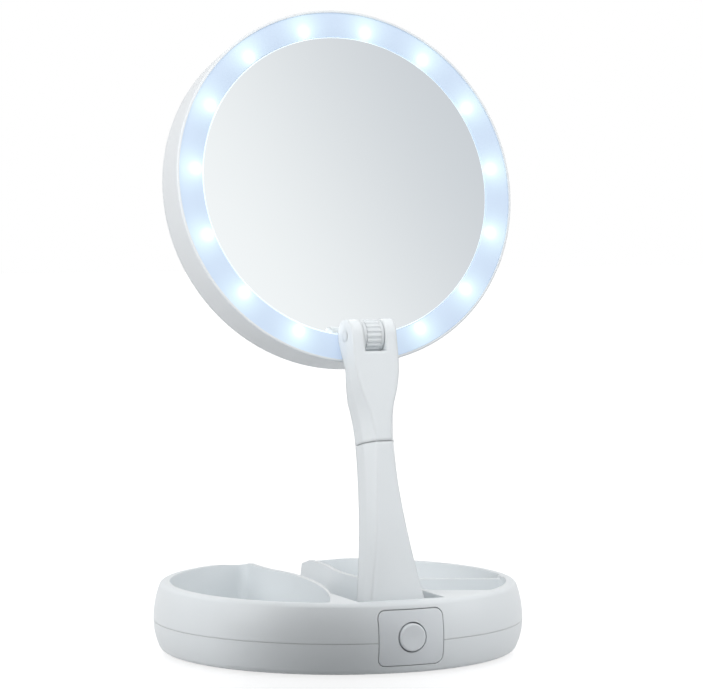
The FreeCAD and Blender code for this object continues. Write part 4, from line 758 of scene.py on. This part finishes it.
def soft_lamp(name, place, target, size, power):
    """A square area lamp of a size in metres and a power in watts that faces a target."""
    data = bpy.data.lights.new(name, "AREA")
    data.shape = "SQUARE"
    data.size = size
    data.energy = power
    lamp = bpy.data.objects.new(name, data)
    lamp.location = place
    lamp.rotation_euler = (Vector(target) - Vector(place)).to_track_quat("-Z", "Y").to_euler()
    bpy.context.scene.collection.objects.link(lamp)
    return lamp


soft_lamp("lamp_above", (0, -0.7, 1.8), (0, 0, 0.1), 1.6, 6.5)
soft_lamp("lamp_front", (-0.3, -2.2, 1.3), (0, 0, 0.1), 1.4, 8.5)
soft_lamp("lamp_left", (-0.9, -0.35, 0.55), (0, 0, 0.2), 0.8, 4.8)
soft_lamp("lamp_right", (1.5, -0.8, 0.9), (0, 0, 0.15), 1.2, 6.5)

# %% [markdown]
# ## What the mirror shows
#
# A mirror has no look of its own: it shows what stands across from it. Here that is a painted
# reflection: a large card with a soft change of brightness, hung where the flat mirror looks from the
# camera's place. It emits that change by itself, and neither the camera, nor any shadow, nor a matt
# surface knows of it.

# %% Card for the mirror's painted reflection
SQUARE = ((-1, -1), (1, -1), (1, 1), (-1, 1))
CARD_AWAY, CARD_HALF, CARD_SLANT = 3.0, 1.2, 0.35
CARD_PALE_TO, CARD_GREY_FROM = 0.56, 0.79


def sheet(name, corners):
    """A flat sheet of one face between four corners, linked to the scene."""
    mesh = bpy.data.meshes.new(name)
    mesh.from_pydata([tuple(corner) for corner in corners], [], [(0, 1, 2, 3)])
    made = bpy.data.objects.new(name, mesh)
    bpy.context.scene.collection.objects.link(made)
    return made


mirror_middle = Vector(head_point(0.0, 0.0, GLASS_FACE).reshape(3).tolist())
looking = (mirror_middle - eye).normalized()
outward = Vector((-head_back).tolist())
away = looking - 2 * looking.dot(outward) * outward
card_middle = mirror_middle + CARD_AWAY * away
card_across = Vector((0, 0, 1)).cross(away).normalized()
card_up = away.cross(card_across)
card = sheet("painted_reflection_card", [
    card_middle + CARD_HALF * (x * card_across + y * card_up) for x, y in SQUARE
])
card.data.uv_layers.new(name="card").data.foreach_set("uv", [0, 0, 1, 0, 1, 1, 0, 1])
card.visible_camera = False
card.visible_shadow = False
card.visible_diffuse = False
print("card at", [round(v, 2) for v in card_middle])

# %% Painted reflection on the card
painted_reflection, tree = new_material("card_with_painted_reflection")
spot = add(tree, "ShaderNodeSeparateXYZ", Vector=add(tree, "ShaderNodeTexCoord").outputs["UV"])
slant = add(
    tree, "ShaderNodeMath", {"operation": "MULTIPLY_ADD"},
    n0=spot.outputs["Y"], n1=CARD_SLANT, n2=spot.outputs["X"],
)
# Painted reflection: a soft change from pale to grey across the card, for the flat mirror to show
change = add(tree, "ShaderNodeValToRGB", Fac=slant.outputs[0])
change.color_ramp.interpolation = "EASE"
pale_end, grey_end = change.color_ramp.elements
pale_end.position, pale_end.color = CARD_PALE_TO, linear("#FAFCFD")
grey_end.position, grey_end.color = CARD_GREY_FROM, linear("#D0D4D9")
close_material(tree, add(tree, "ShaderNodeEmission", Color=change.outputs[0]).outputs[0])
card.data.materials.append(painted_reflection)
print("card paint:", painted_reflection.name)

# %% [markdown]
# ## A dark card before the base
#
# The base of the real one is darker in the middle of its front, where it faces something dark in the
# room. Photographers stand a small dark card there to model a white shape. It takes light away from
# the base alone, because it is low and close. Neither the camera nor the mirror sees it.

# %% Dark card
FLAG_REACH, FLAG_HALF, FLAG_LOW, FLAG_HIGH = 0.150, 0.070, 0.010, 0.085
FLAG_SIDE = math.radians(30)
facing = Vector((-math.sin(FLAG_SIDE), -math.cos(FLAG_SIDE), 0))
along = Vector((-facing.y, facing.x, 0))
flag = sheet("dark_card", [
    facing * FLAG_REACH + along * FLAG_HALF * s + Vector((0, 0, z))
    for s, z in ((-1, FLAG_LOW), (1, FLAG_LOW), (1, FLAG_HIGH), (-1, FLAG_HIGH))
])
flag.visible_camera = False
flag.visible_glossy = False
# Felt: woolly and nearly black, gives almost no light back
felt, tree = new_material("dark_felt")
close_material(tree, add(tree, "ShaderNodeBsdfDiffuse", Color=linear("#2A2C2E")).outputs[0])
flag.data.materials.append(felt)
print("dark card before the base:", [round(v, 3) for v in facing * FLAG_REACH])

# %% [markdown]
# ## Floor
#
# The floor is a plain white table. Its material adds a part of its own white for the camera, so that
# it runs into the white surround without a horizon, and keeps a part that is lit, where the shadow and
# a faint reflection of the base show.

# %% Floor
FLOOR_HALF, OWN_WHITE = 6, 0.76
floor = sheet("floor", [(FLOOR_HALF * x, FLOOR_HALF * y, 0) for x, y in SQUARE])
# Laminate: a smooth hard sheet with a dull shine
table_top, tree = new_material("white_laminate_table")
seen = seen_ray(tree)
own_white = add(tree, "ShaderNodeMapRange", Value=seen, n3=0.0, n4=OWN_WHITE)
lit_part = add(
    tree, "ShaderNodeMix", {"data_type": "RGBA"}, Factor=seen,
    n6=linear("#BCBDBE"), n7=linear("#828384"),
)
surface = add(
    tree, "ShaderNodeBsdfPrincipled", Base_Color=lit_part.outputs[2], Roughness=0.35, IOR=1.45,
    Emission_Color=WHITE, Emission_Strength=own_white.outputs[0],
)
close_material(tree, surface.outputs[0])
floor.data.materials.append(table_top)
print("floor:", floor.name)

# %% [markdown]
# ## The view transform
#
# The picture's colours go out as written, through the standard view transform.

# %% View transform
bpy.context.scene.view_settings.view_transform = "Standard"
